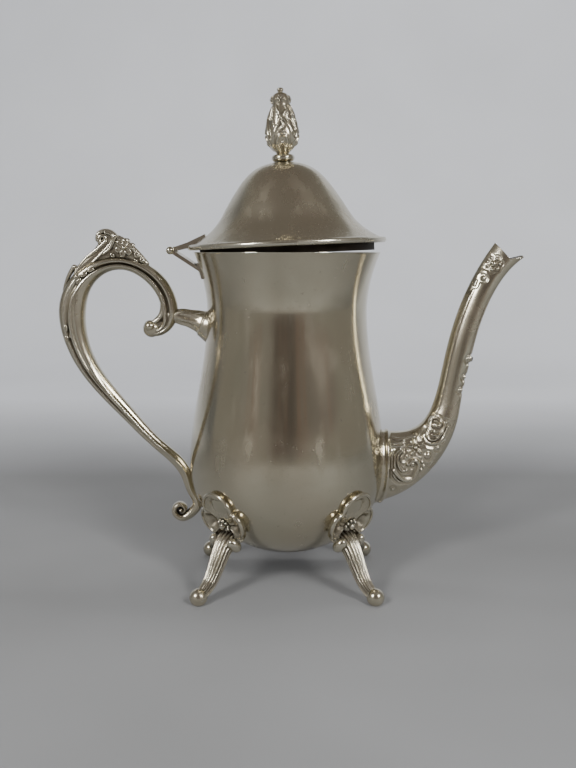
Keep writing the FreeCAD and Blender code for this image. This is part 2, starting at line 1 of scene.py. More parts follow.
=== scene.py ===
"""Looks of the coffee pot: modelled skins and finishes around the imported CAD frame.

The pot is drawn in millimetres, which mesh_of() turns into metres. Its spout points to +X and its handle to
-X. Its heights count from a level TABLE_Z below the table, and piece() brings them down to the table. The
stage, lamps and camera are in metres.
"""
import json
import math
import bmesh
import bpy
import mathutils
import numpy as np
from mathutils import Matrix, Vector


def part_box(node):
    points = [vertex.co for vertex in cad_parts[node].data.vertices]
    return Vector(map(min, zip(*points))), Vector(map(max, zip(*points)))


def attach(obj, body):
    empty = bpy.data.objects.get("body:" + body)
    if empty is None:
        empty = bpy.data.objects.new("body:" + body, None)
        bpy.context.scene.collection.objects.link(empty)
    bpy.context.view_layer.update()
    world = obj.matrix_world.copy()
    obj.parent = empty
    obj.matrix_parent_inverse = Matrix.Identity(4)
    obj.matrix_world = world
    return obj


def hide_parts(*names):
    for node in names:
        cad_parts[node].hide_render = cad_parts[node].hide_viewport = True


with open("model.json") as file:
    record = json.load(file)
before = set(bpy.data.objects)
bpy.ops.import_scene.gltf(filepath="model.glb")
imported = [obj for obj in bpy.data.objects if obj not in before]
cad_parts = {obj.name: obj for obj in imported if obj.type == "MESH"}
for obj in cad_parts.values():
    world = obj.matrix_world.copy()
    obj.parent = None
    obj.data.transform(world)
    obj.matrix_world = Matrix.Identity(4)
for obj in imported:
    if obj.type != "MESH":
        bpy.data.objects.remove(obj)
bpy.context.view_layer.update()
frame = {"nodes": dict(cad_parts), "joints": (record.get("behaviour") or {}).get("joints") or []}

MM = 0.001
X, Y, Z = 0, 1, 2
LOW, HIGH = 0, 1
TABLE_Z = 6.5
WELD = 0.002
ACROSS = np.array([0, 1, 0])


def face_of(node, axis, side):
    """Where one face of a CAD node's box lies in the drawing."""
    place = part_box(node)[side][axis] / MM
    return round(place + TABLE_Z if axis == Z else place, 1)


# Body, from the CAD node
BASE_Z = face_of("body_shell", Z, LOW)
RIM_Z = face_of("body_shell", Z, HIGH)
BELLY_R = face_of("body_shell", X, HIGH)
BELLY_Z = 68.0
WAIST_Z = 148.0
WAIST_R = BELLY_R - 9.6
RIM_R = BELLY_R - 2.9
RIM_FLARE = 0.42
BODY_WALL = 1.0
RIM_LIP = [(0, -0.35), (0.12, -0.12), (-0.1, 0), (-0.6, 0), (-0.95, -0.15)]  # from the rim's outer corner
QUARTER = 0.5523  # handle length with which a cubic curve draws a quarter ellipse

# Strainer
STRAINER_HOLE_R = 1.5
STRAINER_PITCH = 5.0
STRAINER_ROWS = 5
STRAINER_COLUMNS = 3

# Lid, in its closed place; the joint says where it turns and how far it stands open
HINGE_X = frame["joints"][0]["pos_m"][X] / MM
HINGE_Z = frame["joints"][0]["pos_m"][Z] / MM + TABLE_Z
LID_AJAR = math.radians(-frame["joints"][0]["range_deg"][0])
LID_R = RIM_R + 3.0
LID_BEAD_R = 1.4
LID_GAP = 0.3
LID_Z = RIM_Z + LID_GAP + LID_BEAD_R
LID_WALL = 0.9
CROWN_Z = LID_Z + 41.0
LID_CROWN_SPREAD = 16.0
LID_SHOULDER_R = 28.3
LID_SHOULDER_Z = LID_Z + 21.6
LID_SHOULDER_SLOPE = 0.66
LID_SKIRT_SLOPE = 2.1
LID_SHOULDER_HANDLE = 11.0

# Finial
COLLAR_R = 5.8
COLLAR_H = 3.6
FINIAL_Z = CROWN_Z + COLLAR_H
FINIAL_H = 33.0

# Spout
SPOUT_Z = 67.0
SPOUT_REACH = 72.0
SPOUT_RISE = RIM_Z - SPOUT_Z
SPOUT_WALL = 1.2

# Handle
HANDLE_FOOT_Z = 55.0
HANDLE_ARM_Z = 142.0
HANDLE_REACH = 69.0
HANDLE_BITE = 0.5

# Feet
FOOT_ANGLES = {"foot_rear_right": 45, "foot_rear_left": 135, "foot_front_left": 225, "foot_front_right": 315}
FOOT_BALL_R = 4.4
FOOT_BALL_RISE = 3.92  # less than its radius, since the ball is worn flat below
FOOT_BALL_Z = TABLE_Z + FOOT_BALL_RISE
FOOT_CIRCLE_R = math.sqrt(2) * (face_of("foot_rear_right", X, HIGH) - FOOT_BALL_R)
FOOT_PLATE_Z = 44.5


def cubic(poles, steps):
    """Points along a cubic curve with four poles."""
    t = np.linspace(0, 1, steps + 1)[:, None]
    a, b, c, d = np.array(poles, float)
    return a * (1 - t) ** 3 + b * 3 * t * (1 - t) ** 2 + c * 3 * t * t * (1 - t) + d * t**3


def trace(curves, steps):
    """Points along a chain of cubic curves."""
    runs = [cubic(poles, steps) for poles in curves]
    return np.vstack([run[:-1] for run in runs] + [runs[-1][-1:]])


def smooth(rows, count):
    """Natural cubic spline through rows of numbers, spaced by their first two columns."""
    rows = np.array(rows, float)
    steps = np.linalg.norm(np.diff(rows[:, :2], axis=0), axis=1)
    knots = np.concatenate([[0], np.cumsum(steps)])
    matrix = np.eye(len(rows))
    right = np.zeros_like(rows)
    for i in range(1, len(rows) - 1):
        matrix[i, i - 1:i + 2] = steps[i - 1], 2 * (steps[i - 1] + steps[i]), steps[i]
        right[i] = 6 * ((rows[i + 1] - rows[i]) / steps[i] - (rows[i] - rows[i - 1]) / steps[i - 1])
    bend = np.linalg.solve(matrix, right)
    at = np.linspace(0, knots[-1], count)
    i = np.clip(np.searchsorted(knots, at) - 1, 0, len(rows) - 2)
    span = steps[i][:, None]
    a = (knots[i + 1] - at)[:, None] / span
    b = 1 - a
    return a * rows[i] + b * rows[i + 1] + ((a**3 - a) * bend[i] + (b**3 - b) * bend[i + 1]) * span**2 / 6


def unit(vectors):
    """Vectors at a length of 1."""
    return vectors / np.maximum(np.linalg.norm(vectors, axis=-1, keepdims=True), 1e-9)


def bump(distance, width):
    """Bell curve: 1 at no distance, falling off over the width."""
    return np.exp(-(distance / width) ** 2)


def ease(low, high, value):
    """Smooth ramp from 0 at low to 1 at high; it falls where low is the greater one."""
    t = np.clip((value - low) / (high - low), 0, 1)
    return t * t * (3 - 2 * t)


def between(rise, fall, value):
    """1 between two ramps, each given by where it is 0 and where it is 1."""
    return ease(*rise, value) * ease(*fall, value)


def ring(count, turn=0.0):
    """Angles spread evenly over a full turn."""
    return turn + np.arange(count) * (2 * np.pi / count)


def grid_shell(points, closed=True):
    """Shell over a grid of points (rows, columns, 3); closed joins its last column to its first."""
    rows, columns, _ = points.shape
    index = np.arange(rows * columns).reshape(rows, columns)
    if closed:
        index = np.hstack([index, index[:, :1]])
    corners = [index[:-1, :-1], index[:-1, 1:], index[1:, 1:], index[1:, :-1]]
    return points.reshape(-1, 3), np.stack(corners, -1).reshape(-1, 4)


def lathe(profile, turns):
    """Shell spun from (radius, height) points."""
    profile = np.array(profile)
    angle = ring(turns)
    radius = profile[:, :1]
    height = np.repeat(profile[:, 1:], turns, axis=1)
    return grid_shell(np.stack([radius * np.cos(angle), radius * np.sin(angle), height], -1))


def pebble(centre, size, turn=0.0, dent=0.0, steps=14):
    """Egg-shaped shell; turn tilts it in the XZ plane, and dent hollows its two Y faces."""
    polar = np.linspace(0, np.pi, steps)[:, None]
    angle = ring(2 * steps)
    a = np.sin(polar) * np.cos(angle)
    b = np.sin(polar) * np.sin(angle)
    y = np.repeat(np.cos(polar), 2 * steps, axis=1)
    y = y * (1 - dent * bump(np.hypot(a, b), 0.6))
    x = a * size[0] * math.cos(turn) - b * size[2] * math.sin(turn)
    z = a * size[0] * math.sin(turn) + b * size[2] * math.cos(turn)
    return grid_shell(np.stack([x, y * size[1], z], -1) + np.array(centre))


def sweep(stations, count, around, power=2.0, y=0.0, shape=None):
    """Closed shell along (x, z, thickness, width) stations, with domed ends.

    shape(share, inward, side) gives extra height on the skin: share runs along the path, inward is +1
    on the side that the path turns towards and side is +1 on the +Y face.
    """
    rows = smooth(stations, count)
    tangent = unit(np.gradient(rows[:, :2], axis=0))
    rows, tangent, share = domed_ends(rows, tangent)
    inward = np.stack([-tangent[:, 1], tangent[:, 0]], -1)
    angle = ring(around)
    depth = np.sign(np.cos(angle)) * np.abs(np.cos(angle)) ** (2 / power)
    side = np.sign(np.sin(angle)) * np.abs(np.sin(angle)) ** (2 / power)
    half_depth = rows[:, 2:3] / 2
    half_width = rows[:, 3:4] / 2
    push = np.zeros((len(rows), around))
    if shape:
        push = shape(share[:, None], depth[None, :], side[None, :]) * np.minimum(1, half_depth)
    normal = unit(np.stack(np.broadcast_arrays(np.cos(angle) * half_width, np.sin(angle) * half_depth), -1))
    out = half_depth * depth + push * normal[..., 0]
    across = half_width * side + push * normal[..., 1]
    flat = rows[:, None, :2] + out[..., None] * inward[:, None, :]
    return grid_shell(np.stack([flat[..., 0], across + y, flat[..., 1]], -1))


def domed_ends(rows, tangent, steps=7):
    """Adds rows that close both ends of a path with a dome, and each row's share of the path."""
    share = np.linspace(0, 1, len(rows))
    turn = np.linspace(0, np.pi / 2, steps + 1)[1:]
    ends = []
    for end, sign in ((0, -1), (-1, 1)):
        cap = np.repeat(rows[end:][:1], steps, axis=0)
        reach = rows[end, 2] / 2
        cap[:, :2] += sign * tangent[end] * (reach * np.sin(turn))[:, None]
        cap[:, 2:4] *= np.maximum(np.cos(turn), 1e-4)[:, None]
        ends.append(cap)
    rows = np.vstack([ends[0][::-1], rows, ends[1]])
    tangent = np.vstack([np.repeat(tangent[:1], steps, 0), tangent, np.repeat(tangent[-1:], steps, 0)])
    share = np.concatenate([np.zeros(steps), share, np.ones(steps)])
    return rows, tangent, share


def stroke(points, radius, lift, end=None):
    """Round raised line along points of the middle plane; its radius may taper to another one."""
    path = smooth(points, 6 * len(points)) if len(points) > 2 else np.array(points, float)
    return path, radius, radius if end is None else end, lift


def dab(x, z, radius, lift):
    """Round raised bead."""
    return np.array([(x, z), (x + 0.01, z)]), radius, radius, lift


def petals(x, z, reach, count, lift, turn=0.0):
    """Raised petals round a bead."""
    made = [dab(x, z, reach * 0.26, lift * 1.15)]
    inner, outer = 0.45 * reach, 0.78 * reach
    for angle in ring(count, turn):
        a, b = math.cos(angle), math.sin(angle)
        line = [(x + a * inner, z + b * inner), (x + a * outer, z + b * outer)]
        made.append(stroke(line, reach * 0.18, lift, reach * 0.3))
    return made


def beaded(x, z, reach, count, size):
    """Ring of raised beads round a larger one."""
    made = [dab(x, z, 1.6 * size, 1.5 * size)]
    for angle in ring(count):
        made.append(dab(x + reach * math.cos(angle), z + reach * math.sin(angle), size, 1.2 * size))
    return made


def relief(flat, strokes):
    """Height of the strokes over flat (x, z) points."""
    height = np.zeros(flat.shape[:-1])
    for path, start, end, lift in strokes:
        radius = np.linspace(start, end, len(path))
        for first, last, size in zip(path[:-1], path[1:], radius):
            run = last - first
            share = np.clip(((flat - first) @ run) / max(run @ run, 1e-9), 0, 1)
            gap = np.linalg.norm(flat - first - share[..., None] * run, axis=-1)
            height = np.maximum(height, lift * np.clip(1 - (gap / size) ** 2, 0, 1) ** 0.7)
    return height


def body_curves(grow=0.0):
    """The body's outline from its base to its rim, moved out by some distance."""
    base_z = BASE_Z - grow
    belly_r = BELLY_R + grow
    waist_r = WAIST_R + grow
    rim_r = RIM_R + grow
    drop = QUARTER * (BELLY_Z - base_z)
    side = (WAIST_Z - BELLY_Z) / 3
    neck = (RIM_Z - WAIST_Z) / 3
    return [
        [(0, base_z), (QUARTER * belly_r, base_z), (belly_r, BELLY_Z - drop), (belly_r, BELLY_Z)],
        [(belly_r, BELLY_Z), (belly_r, BELLY_Z + side), (waist_r, WAIST_Z - side), (waist_r, WAIST_Z)],
        [(waist_r, WAIST_Z), (waist_r, WAIST_Z + neck), (rim_r - RIM_FLARE * neck, RIM_Z - neck),
         (rim_r, RIM_Z)],
    ]


BODY_TRACE = trace(body_curves(), 200)


def body_radius(z):
    return np.interp(z, BODY_TRACE[:, 1], BODY_TRACE[:, 0])


def lid_curves(grow=0.0):
    """The lid's outline from its crown to its edge, moved out by some distance."""
    shoulder = math.hypot(1, LID_SHOULDER_SLOPE)
    skirt = math.hypot(1, LID_SKIRT_SLOPE)
    crown_z = CROWN_Z + grow
    shoulder_r = LID_SHOULDER_R + grow / shoulder
    shoulder_z = LID_SHOULDER_Z + grow * LID_SHOULDER_SLOPE / shoulder
    edge_r = LID_R - LID_BEAD_R + grow / skirt
    edge_z = LID_Z + LID_BEAD_R / 2 + grow * LID_SKIRT_SLOPE / skirt
    fall = (shoulder_z - edge_z) / 3
    lift = LID_SHOULDER_HANDLE
    return [
        [(0, crown_z), (LID_CROWN_SPREAD, crown_z),
         (shoulder_r - LID_SHOULDER_SLOPE * lift, shoulder_z + lift), (shoulder_r, shoulder_z)],
        [(shoulder_r, shoulder_z), (shoulder_r + LID_SHOULDER_SLOPE * fall, shoulder_z - fall),
         (edge_r - LID_SKIRT_SLOPE * fall, edge_z + fall), (edge_r, edge_z)],
    ]


def spun(shell, angle, first, second, pivot=(0, 0)):
    """Shell turned about a pivot, from the first axis towards the second."""
    points, faces = shell
    points = points.copy()
    a, b = points[:, first] - pivot[0], points[:, second] - pivot[1]
    c, s = math.cos(angle), math.sin(angle)
    points[:, first] = pivot[0] + a * c - b * s
    points[:, second] = pivot[1] + a * s + b * c
    return points, faces


def ajar(shell):
    """A closed lid's shell, turned about the hinge to where the lid rests."""
    return spun(shell, LID_AJAR, X, Z, (HINGE_X, HINGE_Z))


def mirrored(shell):
    points, faces = shell
    return points * np.array([1, -1, 1]), faces[:, ::-1]


def hugged(shell):
    """Shell whose points inside the pot's skin are moved out, to just under it."""
    points, faces = shell
    points = points.copy()
    room = body_radius(points[:, 2]) - BODY_WALL / 2
    radius = np.hypot(points[:, 0], points[:, 1])
    inside = (radius < room) & (points[:, 2] > BASE_Z)
    scale = np.where(inside, room / np.maximum(radius, 1e-6), 1)
    points[:, :2] *= scale[:, None]
    return points, faces


def mesh_of(name, shells):
    """Mesh in metres of several shells, welded where points meet, with smooth shading."""
    mesh = bpy.data.meshes.new(name)
    offsets = np.cumsum([0] + [len(points) for points, _ in shells])
    points = np.vstack([points for points, _ in shells]) * MM
    faces = np.vstack([faces + offset for (_, faces), offset in zip(shells, offsets)])
    mesh.from_pydata(points.tolist(), [], faces.tolist())
    shape = bmesh.new()
    shape.from_mesh(mesh)
    bmesh.ops.remove_doubles(shape, verts=shape.verts, dist=WELD * MM)
    bmesh.ops.dissolve_degenerate(shape, edges=shape.edges, dist=WELD * MM)
    bmesh.ops.recalc_face_normals(shape, faces=shape.faces)
    shape.to_mesh(mesh)
    shape.free()
    mesh.polygons.foreach_set("use_smooth", [True] * len(mesh.polygons))
    return mesh


def new_object(name, data):
    """Object in the scene."""
    made = bpy.data.objects.new(name, data)
    bpy.context.scene.collection.objects.link(made)
    return made


def piece(name, mesh, finishes, body, nodes):
    """Object that rides a CAD body and stands for its nodes."""
    made = new_object(name, mesh)
    mesh.transform(mathutils.Matrix.Translation((0, 0, -TABLE_Z * MM)))
    mesh.materials.clear()
    for finish in finishes:
        mesh.materials.append(finish)
    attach(made, body)
    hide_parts(*nodes)
    return made


def applied(made):
    """Bakes an object's modifiers into its mesh."""
    view = bpy.context.evaluated_depsgraph_get()
    mesh = bpy.data.meshes.new_from_object(made.evaluated_get(view))
    made.modifiers.clear()
    made.data = mesh


class Nodes:
    """A material, with short calls that add shader nodes to it."""

    def __init__(self, name, metal=False):
        self.material = bpy.data.materials.new(name)
        self.material.use_nodes = True
        self.tree = self.material.node_tree
        self.shader = self.tree.nodes["Principled BSDF"].inputs
        self.shader["Metallic"].default_value = float(metal)
        self.place = self.add("TexCoord", "Object", {})

    def add(self, kind, output, inputs, **settings):
        """One output of a new node, whose inputs are fixed values or sockets."""
        node = self.tree.nodes.new("ShaderNode" + kind)
        for key, value in settings.items():
            setattr(node, key, value)
        for key, value in inputs.items():
            if isinstance(value, bpy.types.NodeSocket):
                self.tree.links.new(value, node.inputs[key])
            else:
                node.inputs[key].default_value = value
        return node.outputs[output]

    def drive(self, name, source):
        """Joins a socket to one of the surface's inputs."""
        self.tree.links.new(source, self.shader[name])

    def noise(self, scale, detail, stretch=(1, 1, 1)):
        """Noise whose features are 1/scale metres across, stretched along the axes."""
        place = self.add("Mapping", "Vector", {"Vector": self.place, "Scale": stretch})
        return self.add("TexNoise", "Fac", {"Vector": place, "Scale": scale, "Detail": detail})

    def span(self, value, low, high, start, end):
        """Value mapped from low..high to start..end, held at the ends."""
        ends = {"From Min": low, "From Max": high, "To Min": start, "To Max": end}
        return self.add("MapRange", "Result", {"Value": value, **ends})

    def maths(self, operation, first, second):
        return self.add("Math", "Value", {0: first, 1: second}, operation=operation)

    def blend(self, share, first, second):
        """Mix of two colours, each a colour or a socket."""
        first, second = [(*value, 1) if isinstance(value, tuple) else value for value in (first, second)]
        return self.add("Mix", 2, {"Factor": share, 6: first, 7: second}, data_type="RGBA")

    def crevice(self, distance):
        """1 in the open, towards 0 in recesses narrower than the distance."""
        return self.add("AmbientOcclusion", "AO", {"Distance": distance * MM}, samples=8, only_local=True)

    def edges(self, low, high):
        """0 on even ground, towards 1 along outer edges."""
        return self.span(self.add("NewGeometry", "Pointiness", {}), low, high, 0, 1)

    def bumps(self, height, depth):
        inputs = {"Height": height, "Distance": depth * MM, "Strength": 1.0}
        self.drive("Normal", self.add("Bump", "Normal", inputs))


PLATE = (0.60, 0.562, 0.44)
WORN = (0.55, 0.485, 0.37)
# Tarnish colour; in the castings' hollows it also stands for painted shade.
TARNISH_AND_SHADE = (0.085, 0.066, 0.045)
RUBBED = (0.74, 0.71, 0.60)
INSIDE_METAL, INSIDE_STAIN = (0.34, 0.29, 0.22), (0.2, 0.15, 0.1)
# Near-black painted shade for the lid's bezel and the spout's inner wall, which sit in shadow.
PAINTED_SHADE_TONE, PAINTED_SHADE_STAIN = (0.06, 0.05, 0.04), (0.03, 0.024, 0.017)
BRASS_METAL, BRASS_STAIN = (0.55, 0.38, 0.16), (0.22, 0.14, 0.07)


def sheet_finish(name, dull):
    """Old plate on spun metal: smudged, with faint rings from polishing; dull is its least roughness."""
    nodes = Nodes(name, metal=True)
    clouds = nodes.noise(26, 5)
    smudge = nodes.noise(75, 6, (1, 1, 0.55))
    wipes = nodes.noise(150, 4, (1, 1, 0.1))
    specks = nodes.noise(620, 3)
    rings = nodes.noise(40, 4, (1, 1, 60))
    tone = nodes.blend(nodes.span(clouds, 0.35, 0.7, 0, 0.75), PLATE, WORN)
    tone = nodes.blend(nodes.span(specks, 0.66, 0.74, 0, 0.25), tone, TARNISH_AND_SHADE)
    nodes.drive("Base Color", nodes.blend(nodes.edges(0.505, 0.53), tone, RUBBED))
    veil = nodes.span(clouds, 0.4, 0.65, dull, dull + 0.07)
    layers = ((smudge, 0.5, 0.7, 0.09), (wipes, 0.52, 0.7, 0.09), (specks, 0.62, 0.75, 0.08))
    for marks, low, high, most in layers:
        veil = nodes.maths("ADD", veil, nodes.span(marks, low, high, 0, most))
    nodes.drive("Roughness", veil)
    nodes.bumps(nodes.maths("ADD", rings, nodes.maths("MULTIPLY", specks, 0.2)), 0.006)
    return nodes.material


def inside_finish(name, tint, stain, dull):
    """Inside of the pot: stained metal; with near-black tones it is painted shade on the lid's bezel and the
    spout's inner wall. dull is its least roughness.
    """
    nodes = Nodes(name, metal=True)
    stains = nodes.noise(38, 6)
    rings = nodes.noise(30, 3, (1, 1, 40))
    nodes.drive("Base Color", nodes.blend(nodes.span(stains, 0.35, 0.7, 0, 1), tint, stain))
    nodes.drive("Roughness", nodes.span(stains, 0.3, 0.7, dull, dull + 0.2))
    nodes.bumps(rings, 0.02)
    return nodes.material


def casting_finish(name, recess):
    """Plated casting: bright on what hands rub, dark in hollows narrower than the recess, as tarnish and
    painted shade.
    """
    nodes = Nodes(name, metal=True)
    clouds = nodes.noise(60, 5)
    grain = nodes.noise(700, 4)
    tone = nodes.blend(nodes.span(clouds, 0.35, 0.7, 0, 0.8), PLATE, WORN)
    # Painted shade with tarnish: ambient occlusion darkens hollows and creases towards the tarnish colour.
    open_share = nodes.span(nodes.crevice(recess), 0.45, 0.9, 0, 1)
    rubbed = nodes.edges(0.51, 0.57)
    nodes.drive("Base Color", nodes.blend(rubbed, nodes.blend(open_share, TARNISH_AND_SHADE, tone), RUBBED))
    dull = nodes.span(open_share, 0, 1, 0.45, 0.2)
    dull = nodes.maths("ADD", dull, nodes.span(clouds, 0.4, 0.7, 0, 0.1))
    nodes.drive("Roughness", nodes.maths("SUBTRACT", dull, nodes.maths("MULTIPLY", rubbed, 0.07)))
    nodes.bumps(grain, 0.006)
    return nodes.material


def fastener_finish():
    """Brass stud, washer and nut, gone brown."""
    nodes = Nodes("brass_old", metal=True)
    clouds = nodes.noise(300, 5)
    nodes.drive("Base Color", nodes.blend(nodes.span(clouds, 0.35, 0.7, 0, 1), BRASS_METAL, BRASS_STAIN))
    nodes.drive("Roughness", nodes.span(clouds, 0.3, 0.7, 0.25, 0.5))
    nodes.bumps(clouds, 0.02)
    return nodes.material


SHEET = sheet_finish("plated_sheet_old", 0.11)
LID_SHEET = sheet_finish("plated_sheet_lid", 0.19)
INSIDE = inside_finish("plated_sheet_inside", INSIDE_METAL, INSIDE_STAIN, 0.32)
# Painted shade finish for the lid's bezel and the spout's inner wall.
PAINTED_SHADE_SHEET = inside_finish("plated_sheet_painted_shade", PAINTED_SHADE_TONE, PAINTED_SHADE_STAIN, 0.5)
CASTING = casting_finish("plated_casting_old", 3.0)
# The feet's long occlusion distance paints shade, with tarnish, deep into the flower's cups.
FOOT_CASTING = casting_finish("plated_casting_feet", 8.0)
BRASS = fastener_finish()


def strainer_cutter():
    """Rods through the body's wall behind the spout."""
    shape = bmesh.new()
    for row in range(STRAINER_ROWS):
        for column in range(STRAINER_COLUMNS):
            y = (column - (STRAINER_COLUMNS - 1) / 2) * STRAINER_PITCH
            z = SPOUT_Z - TABLE_Z + (row - (STRAINER_ROWS - 1) / 2) * STRAINER_PITCH
            made = bmesh.ops.create_cone(shape, cap_ends=True, segments=20, radius1=STRAINER_HOLE_R * MM,
                                         radius2=STRAINER_HOLE_R * MM, depth=BELLY_R / 2 * MM)
            for vertex in made["verts"]:
                a, b, c = vertex.co
                vertex.co = (c + BELLY_R * MM, a + y * MM, b + z * MM)
    mesh = bpy.data.meshes.new("strainer_cutter")
    shape.to_mesh(mesh)
    shape.free()
    return new_object("strainer_cutter", mesh)


def make_body():
    """Spun body with a rounded rim and the strainer's holes; the inside has a finish of its own."""
    outer = trace(body_curves(), 56)[:-1]
    inner = trace(body_curves(-BODY_WALL), 40)[::-1][1:]
    lip = np.array(RIM_LIP) + (RIM_R, RIM_Z)
    made = piece("pot_body", mesh_of("pot_body", [lathe(np.vstack([outer, lip, inner]), 192)]),
                 [SHEET, INSIDE], "pot", ["body_shell"])
    cutter = strainer_cutter()
    cut = made.modifiers.new("strainer", "BOOLEAN")
    cut.object = cutter
    cut.solver = "EXACT"
    applied(made)
    bpy.data.objects.remove(cutter)
    for face in made.data.polygons:
        x, y, z = face.center / MM + mathutils.Vector((0, 0, TABLE_Z))
        within = math.hypot(x, y) < body_radius(z) - 0.6 * BODY_WALL
        on_floor = abs(z - BASE_Z - BODY_WALL) < BODY_WALL / 2
        face.material_index = int(within or on_floor)


def make_lid():
    """Spun dome with a rolled bead, open underneath."""
    outer = trace(lid_curves(), 40)
    inner = trace(lid_curves(-LID_WALL), 30)
    edge = outer[-1] - np.array([LID_R - LID_BEAD_R, LID_Z])
    start = math.atan2(edge[1], edge[0])
    turn = np.linspace(start, start - 1.5 * math.pi, 25)[:, None]
    bead = np.hstack([LID_R - LID_BEAD_R + LID_BEAD_R * np.cos(turn), LID_Z + LID_BEAD_R * np.sin(turn)])
    shell = ajar(lathe(np.vstack([outer[:-1], bead, inner[::-1]]), 192))
    made = piece("lid_cover", mesh_of("lid_cover", [shell]), [LID_SHEET, INSIDE], "lid", ["lid_dome"])
    below = mathutils.Vector((0, 0, (LID_Z - TABLE_Z - LID_R) * MM))
    for face in made.data.polygons:
        inward = face.normal.dot(face.center - below) < 0
        face.material_index = int(inward and face.center.xy.length < (LID_R - 3 * LID_BEAD_R) * MM)


def make_collar():
    turn = np.linspace(-math.pi / 2, math.pi / 2, 15)[:, None]
    flat = COLLAR_R - COLLAR_H / 2
    middle = CROWN_Z + COLLAR_H / 2
    bulge = np.hstack([flat + COLLAR_H / 2 * np.cos(turn), middle + COLLAR_H / 2 * np.sin(turn)])
    profile = np.vstack([[(0, bulge[0, 1])], bulge, [(0, bulge[-1, 1])]])
    piece("finial_bead", mesh_of("finial_bead", [ajar(lathe(profile, 64))]), [CASTING], "lid",
          ["finial_collar"])


FINIAL_OUTLINE = [(2.7, 0.0), (3.3, 0.5), (6.4, 3.4), (8.5, 8.0), (8.2, 12.5), (6.8, 18.0), (5.3, 23.0),
                  (4.8, 25.0), (5.2, 27.0), (4.2, 28.8), (2.4, 30.2), (1.2, 30.9), (1.7, 31.8), (1.3, 32.6),
                  (0.05, FINIAL_H)]
FINIAL_SIDES = 4
FINIAL_RELIEF = ((0.3, 2.0), (FINIAL_H, FINIAL_H - 2.0))
FINIAL_GROUND = ((0, 2), (FINIAL_H - 3.0, FINIAL_H - 5.0))
FINIAL_SUNK = 0.55
FINIAL_THIN_R = 4.2  # where the bud is thinner, its relief narrows


def finial_strokes():
    """One side of the bud's relief, as (distance round, height)."""
    leaf = [(-5.2, 2.0), (-5.6, 6.5), (-3.6, 11.5), (-0.6, 16.0), (2.4, 21.5)]
    ribbon = [(5.0, 3.0), (5.6, 8.0), (4.2, 12.5), (1.5, 16.5), (-1.5, 20.5), (-2.4, 24.0)]
    snake = [(-2.6, 19.5), (-0.6, 18.6), (-1.6, 16.6), (0.4, 15.2), (-0.4, 12.8), (0.8, 10.6)]
    low = [(-2.4, 2.0), (-2.8, 6.0), (-0.6, 9.0), (2.0, 8.0), (2.6, 4.6)]
    strokes = [stroke(leaf, 1.3, 1.0, 0.6), stroke(ribbon, 1.3, 1.1, 0.6), stroke(snake, 0.75, 0.8),
               stroke(low, 0.9, 0.8, 0.6), dab(0.0, 5.0, 1.3, 0.9),
               stroke([(-4, 12), (-4.6, 17)], 0.8, 0.7, 0.5), stroke([(3.8, 17), (3.0, 23)], 0.8, 0.7, 0.5)]
    return strokes + petals(0.0, 27.0, 2.3, 6, 0.8)


def make_finial():
    """Bud wrapped in leaves, with a small rosette on each side of its head and a knob on top."""
    line = smooth(FINIAL_OUTLINE, 150)
    angle = ring(240, -np.pi / 2)
    sector = 2 * np.pi / FINIAL_SIDES
    local = (angle + np.pi / 2 + sector / 2) % sector - sector / 2
    radius, height = line[:, :1], np.repeat(line[:, 1:], len(angle), axis=1)
    flat = np.stack([local * np.maximum(radius, FINIAL_THIN_R), height], -1)
    lifted = relief(flat, finial_strokes()) * between(*FINIAL_RELIEF, line[:, 1:])
    radius = radius - FINIAL_SUNK * between(*FINIAL_GROUND, line[:, 1:]) + lifted
    points = np.stack([radius * np.cos(angle), radius * np.sin(angle), FINIAL_Z + height], -1)
    mesh = mesh_of("finial_bud", [ajar(grid_shell(points))])
    piece("finial_bud", mesh, [CASTING], "lid", ["finial"])


SPOUT_ROWS = [
    ((-0.056, 0.171), (-0.069, -0.171), 0.375),
    ((0.139, 0.169), (0.158, -0.114), 0.319),
    ((0.236, 0.191), (0.331, -0.023), 0.257),
    ((0.310, 0.243), (0.472, 0.115), 0.208),
    ((0.381, 0.369), (0.546, 0.329), 0.178),
    ((0.439, 0.549), (0.611, 0.523), 0.167),
    ((0.489, 0.674), (0.657, 0.644), 0.161),
    ((0.607, 0.868), (0.789, 0.847), 0.156),
    ((0.700, 0.976), (0.889, 0.934), 0.161),
    ((0.814, 1.081), (1.003, 0.996), 0.161),
]
MOUTH = [(0.750, 1.058), (0.865, 0.969), (1.000, 0.978), (1.250, 1.045)]
SPOUT_STEPS = 560
SPOUT_AROUND = 140
GROUND_MARGIN = 1.6
GROUND_DEPTH = 0.45
FLANGE_FLARE = 0.5
FLANGE_RUN = 1.1
FLANGE_RING = 1.2
FLANGE_RING_AT = 2.7
NECK_Z = (80, 100)
NECK_LEAN = 0.36
SECTION_POWER, SECTION_POWER_FALL = 2.1, 0.1
MOULDINGS = [(0.80, 0.06, 0.4), (-0.60, 0.07, -0.6)]  # place across the neck, width and height
MOULDINGS_END = (163, 150)
SEAM_FADE = 0.75  # how far from the middle to the upper seam the ornament starts to fade


def spout_point(share):
    return np.array([BELLY_R + share[0] * SPOUT_REACH, SPOUT_Z + share[1] * SPOUT_RISE])


